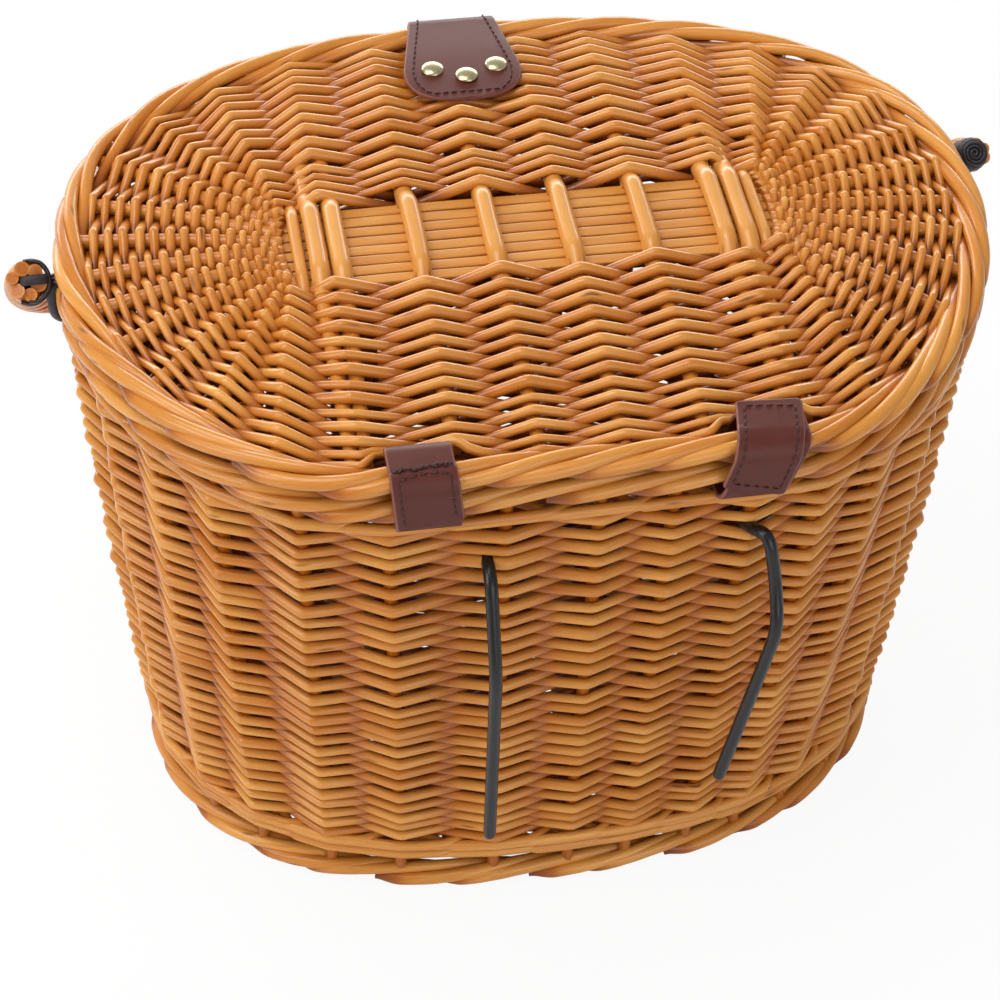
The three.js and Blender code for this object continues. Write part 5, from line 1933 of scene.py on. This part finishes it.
    def flap(self) -> None:
        """The closure flap: a broad round-ended sheet that bends down over the border.

        At a distance d from its end, the half width is W (1 - (1 - d/c)^2.6)^(1/2.6) up to
        the corner depth c, and then falls evenly to the fold's half width.
        """
        levels = self.plan.levels
        low, _ = self.plan.box("closure_flap")
        radius = levels.border_radius + 0.15 * MM + self.flap_leather / 2
        turn = np.radians(np.linspace(90, 0, 26))
        border = np.array([levels.front_border_y, levels.lid_border])
        arc = border + radius * np.stack([np.cos(turn), np.sin(turn)], 1)
        start = np.array([low[1] - 0.5 * MM, 289.4 * MM])
        rest = np.array([[100 * MM, 289.3 * MM], [120 * MM, 288.6 * MM], [134 * MM, 288.0 * MM]])
        end = [[arc[-1, 0], low[2] + 0.4 * MM]]
        line = np.concatenate([start[None], rest, arc, end])
        line = resampled(rounded_line(line, 4 * MM), 130)
        run = run_length(line)
        widest, fold, corner = self.flap_half_widest, self.flap_half_fold, self.flap_corner
        round_end = np.clip(1 - np.clip(1 - run / corner, 0, 1) ** 2.6, 0, 1) ** (1 / 2.6)
        taper = np.clip((run - corner) / (62 * MM - corner), 0, 1)
        half = np.maximum(round_end * widest - taper * (widest - fold), 1.2 * MM)
        sway = -1.6 * MM * (1 - np.clip(run / (60 * MM), 0, 1))
        lift = 0.5 * MM * np.sin(np.pi * np.clip(run / (64 * MM), 0, 1)) ** 2
        path = np.stack([self.flap_x + sway, line[:, 0], line[:, 1] + lift], 1)
        across = np.array([1.0, 0.0, 0.0])
        surface = leather_band(path, half, self.flap_leather, across, 0.15)
        obj = self.plan.piece(surface, "flap_leather")
        dress(obj, self.finishes.leather, Body.LID, ("closure_flap",))
        tangent = unit(np.gradient(path, axis=0))
        normal = unit(np.cross(np.broadcast_to(across, path.shape), tangent))
        face = path + normal * self.flap_leather / 2
        keep = run > self.flap_seam_inset
        inner = np.maximum(half - self.flap_seam_inset, 0)
        first = int(np.flatnonzero(keep)[0])
        nose = np.linspace(-1, 1, 30)[:, None] * inner[first] * across + face[first]
        sides = [(face + side * inner[:, None] * across)[keep] for side in (-1, 1)]
        seams = [Seam().stitches(line, normal[keep], self.dice) for line in sides]
        seams.append(Seam().stitches(nose, normal[first], self.dice))
        self.sew(seams, "flap_stitches", Body.LID)

    def domes(self) -> None:
        """Smooth domed rivets in the places of the flap's CAD rivets."""
        steps, sides = 14, 40
        turn = np.linspace(0, np.pi / 2, steps)
        skirt = np.array([[0.72, 0.9, 0.985, 1.0], [-0.4, -0.35, -0.1, 0.15]])
        radius = self.dome_radius * np.concatenate([skirt[0], np.cos(turn[1:] * 0.97)])
        height = np.concatenate([skirt[1], 0.15 + self.dome_rise * np.sin(turn[1:])]) * MM
        around = 2 * np.pi * np.arange(sides) / sides
        for number in (1, 2, 3):
            node = f"flap_rivet_{number}"
            low, high = self.plan.box(node)
            middle = (low + high) / 2
            base = np.array([middle[0], middle[1], high[2] - 2.05 * MM])
            ring = np.stack([np.cos(around), np.sin(around), np.zeros(sides)], 1)
            rings = base + radius[:, None, None] * ring + height[:, None, None] * UP
            place = np.broadcast_to(rings - base, rings.shape)
            look = np.zeros_like(rings)
            surface = closed_rings(rings[None], place[None], look[None])
            obj = self.plan.piece(surface, f"dome_{number}")
            dress(obj, self.finishes.brass, Body.LID, (node,))

    def carried_over(self) -> None:
        """Dresses the CAD nodes that stay."""
        rivets = [f"{part}_rivet_{number}" for part in ("tongue", "lock") for number in (1, 2)]
        for name in ("tongue_plate", "lock_plate", "turn_button", *rivets):
            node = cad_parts[name]
            node.data.materials.clear()
            node.data.materials.append(self.finishes.brass)
            LOG.info("%s carried over", name)

    def lock_leather(self) -> None:
        """The tongue and the lock's backing: cut leather in their CAD outlines, stitched.

        Each one's mesh is the CAD outline with its slots and holes. The stitches follow a
        line inside each long side, on the outer face.
        """
        for node, name, body in (
            ("closure_tongue", "tongue_leather", Body.TONGUE),
            ("lock_backing", "lock_leather", Body.BASKET),
        ):
            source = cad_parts[node]
            mesh = source.data.copy()
            mesh.transform(source.matrix_world)
            count = len(mesh.vertices)
            spots = np.zeros(3 * count)
            mesh.vertices.foreach_get("co", spots)
            spots = spots.reshape(-1, 3)
            obj = bpy.data.objects.new(name, mesh)
            bpy.context.scene.collection.objects.link(obj)
            dress(obj, self.finishes.leather, body, (node,))
            self.edge_seams(spots - self.plan.axis, f"{name}_stitches", body)

    def edge_seams(self, spots: Array, name: str, body: Body) -> None:
        """Stitches inside both upright sides of a flat piece that leans back or forward.

        The outer face is a line with the points' lean, moved out to the outermost one.

        Args:
            spots: The piece's points about the basket's axis.
            name: Name of the thread piece.
            body: The body that it rides on.
        """
        low, high = spots.min(axis=0), spots.max(axis=0)
        flat = spots[spots[:, 2] < high[2] - 6 * MM]
        top = flat[np.argmax(flat[:, 2])]
        foot = flat[np.argmin(flat[:, 2])]
        slope = np.polyfit(flat[:, 2], flat[:, 1], 1)
        outer = float((flat[:, 1] - np.polyval(slope, flat[:, 2])).max())
        height = np.linspace(top[2] - 4 * MM, foot[2] + 7 * MM, 30)
        y = np.polyval(slope, height) + outer
        normal = unit(np.array([0.0, 1.0, -slope[0]]))
        seams = []
        for x in (low[0] + self.lock_seam_inset, high[0] - self.lock_seam_inset):
            line = np.stack([np.full(30, x), y, height], 1) - normal * 0.1 * MM
            seams.append(Seam(3.0 * MM, 1.9 * MM, 0.35 * MM).stitches(line, normal, self.dice))
        self.sew(seams, name, body)


# Stage


@dataclass(frozen=True)
class Studio:
    """The floor, the lamps, the world and the camera at the photograph's angle."""

    lamps: tuple[tuple[str, Triple, tuple[float, float], float], ...] = (
        ("back_strip", (0.0, 2.3, 0.8), (4.0, 0.7), 54.0),
        ("top_softbox", (-0.7, 0.1, 2.1), (1.2, 1.2), 22.0),
        ("left_softbox", (-1.6, -0.5, 1.0), (0.8, 0.8), 9.0),
        ("front_fill", (0.5, -1.8, 0.9), (1.2, 1.2), 8.5),
    )
    world: float = 0.36
    azimuth: float = -11.23
    elevation: float = 45.87
    roll: float = 2.35
    distance: float = 1.3078
    target: Triple = (-0.00715, 0.00143, 0.1196)
    lens: float = 36.0 * 2.80805

    def build(self, axis: Array) -> None:
        """Makes everything round the basket.

        Args:
            axis: Where the basket's axis stands in the CAD frame.
        """
        bpy.context.scene.view_settings.view_transform = "Standard"
        self.floor()
        self.sky()
        target = Vector(axis) + Vector((0.0, 0.0, 0.15))
        for name, place, size, power in self.lamps:
            light = bpy.data.lights.new(name, "AREA")
            light.shape = "RECTANGLE"
            light.size, light.size_y = size
            light.energy = power
            lamp = bpy.data.objects.new(name, light)
            aim = (target - Vector(place)).to_track_quat("-Z", "Y").to_matrix().to_4x4()
            lamp.matrix_world = Matrix.Translation(place) @ aim
            bpy.context.scene.collection.objects.link(lamp)
        bpy.context.scene.camera = self.camera(Vector(axis))

    def floor(self) -> None:
        """A pale floor that keeps the basket's shadow and is white where it is lit."""
        mesh = bpy.data.meshes.new("floor")
        reach = 6.0
        corners = [(-reach, -reach, 0), (reach, -reach, 0), (reach, reach, 0), (-reach, reach, 0)]
        mesh.from_pydata(corners, [], [(0, 1, 2, 3)])
        floor = bpy.data.objects.new("floor", mesh)
        bpy.context.scene.collection.objects.link(floor)
        material, sketch, shader = blank_material("pale_floor")
        filled(shader, Base_Color=(0.88, 0.88, 0.88), Roughness=0.9)
        glow = sketch.add("ShaderNodeEmission", Strength=1.0)
        rays = sketch.add("ShaderNodeLightPath")
        mixer = sketch.add("ShaderNodeMixShader")
        share = sketch.maths("MULTIPLY", rays.outputs["Is Camera Ray"], 0.92)
        sketch.link(share, mixer.inputs[0])
        sketch.link(shader.outputs[0], mixer.inputs[1])
        sketch.link(glow.outputs[0], mixer.inputs[2])
        sketch.link(mixer.outputs[0], material.node_tree.nodes["Material Output"].inputs[0])
        mesh.materials.append(material)

    def sky(self) -> None:
        """An even world that the camera sees as white."""
        world = bpy.data.worlds.new("studio")
        bpy.context.scene.world = world
        world.use_nodes = True
        tree = Sketch(world.node_tree)
        shade = world.node_tree.nodes["Background"]
        filled(shade, Color=(1.0, 1.0, 1.0), Strength=self.world)
        seen = tree.add("ShaderNodeBackground", Color=(1.0, 1.0, 1.0), Strength=1.0)
        rays = tree.add("ShaderNodeLightPath")
        mixer = tree.add("ShaderNodeMixShader")
        tree.link(rays.outputs["Is Camera Ray"], mixer.inputs[0])
        tree.link(shade.outputs[0], mixer.inputs[1])
        tree.link(seen.outputs[0], mixer.inputs[2])
        tree.link(mixer.outputs[0], world.node_tree.nodes["World Output"].inputs[0])

    def camera(self, axis: Vector) -> Thing:
        """The camera from which the photograph was taken.

        Args:
            axis: Where the basket's axis stands in the CAD frame.

        Returns:
            The camera object.
        """
        azimuth, elevation, roll = (
            math.radians(angle) for angle in (self.azimuth, self.elevation, self.roll)
        )
        target = Vector(self.target) + axis
        level = math.cos(elevation)
        back = math.sin(azimuth) * level, -math.cos(azimuth) * level, math.sin(elevation)
        back = Vector(back)
        level_right = (-back).cross(Vector((0, 0, 1))).normalized()
        level_up = level_right.cross(-back)
        right = level_right * math.cos(roll) + level_up * math.sin(roll)
        up = level_up * math.cos(roll) - level_right * math.sin(roll)
        data = bpy.data.cameras.new("photo_camera")
        data.sensor_width = 36.0
        data.lens = self.lens
        data.clip_start = 0.01
        camera = bpy.data.objects.new("photo_camera", data)
        turn = Matrix((right, up, back)).transposed().to_4x4()
        camera.matrix_world = Matrix.Translation(target + back * self.distance) @ turn
        bpy.context.scene.collection.objects.link(camera)
        return camera


def main() -> None:
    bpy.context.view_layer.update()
    levels = Levels()
    plan = Plan(levels)
    Studio().build(plan.axis)
    finishes = Finishes()
    Wall(plan, finishes).build()
    foot, rim, lid = levels.foot_border, levels.rim_border, levels.lid_border
    borders = (
        RolledBorder(
            plan, finishes, "foot_roll", "foot_border", Body.BASKET, foot, foot,
            rods=30, rod_radius=2.8 * MM, flat_bottom=0.0,
        ),
        RolledBorder(plan, finishes, "rim_roll", "rim_border", Body.BASKET, rim, rim, seed=7),
        RolledBorder(
            plan, finishes, "lid_roll", "lid_border", Body.LID, lid, rim,
            half_width=7.2 * MM, seed=9,
        ),
    )
    for border in borders:
        border.build()
    LidWeave(plan, finishes).build()
    LidCore(plan, finishes).build()
    Base(plan, finishes).build()
    Handle(plan, finishes).build()
    Hooks(plan, finishes).build()
    LeatherWork(plan, finishes).build()


if __name__ == "__main__":
    main()
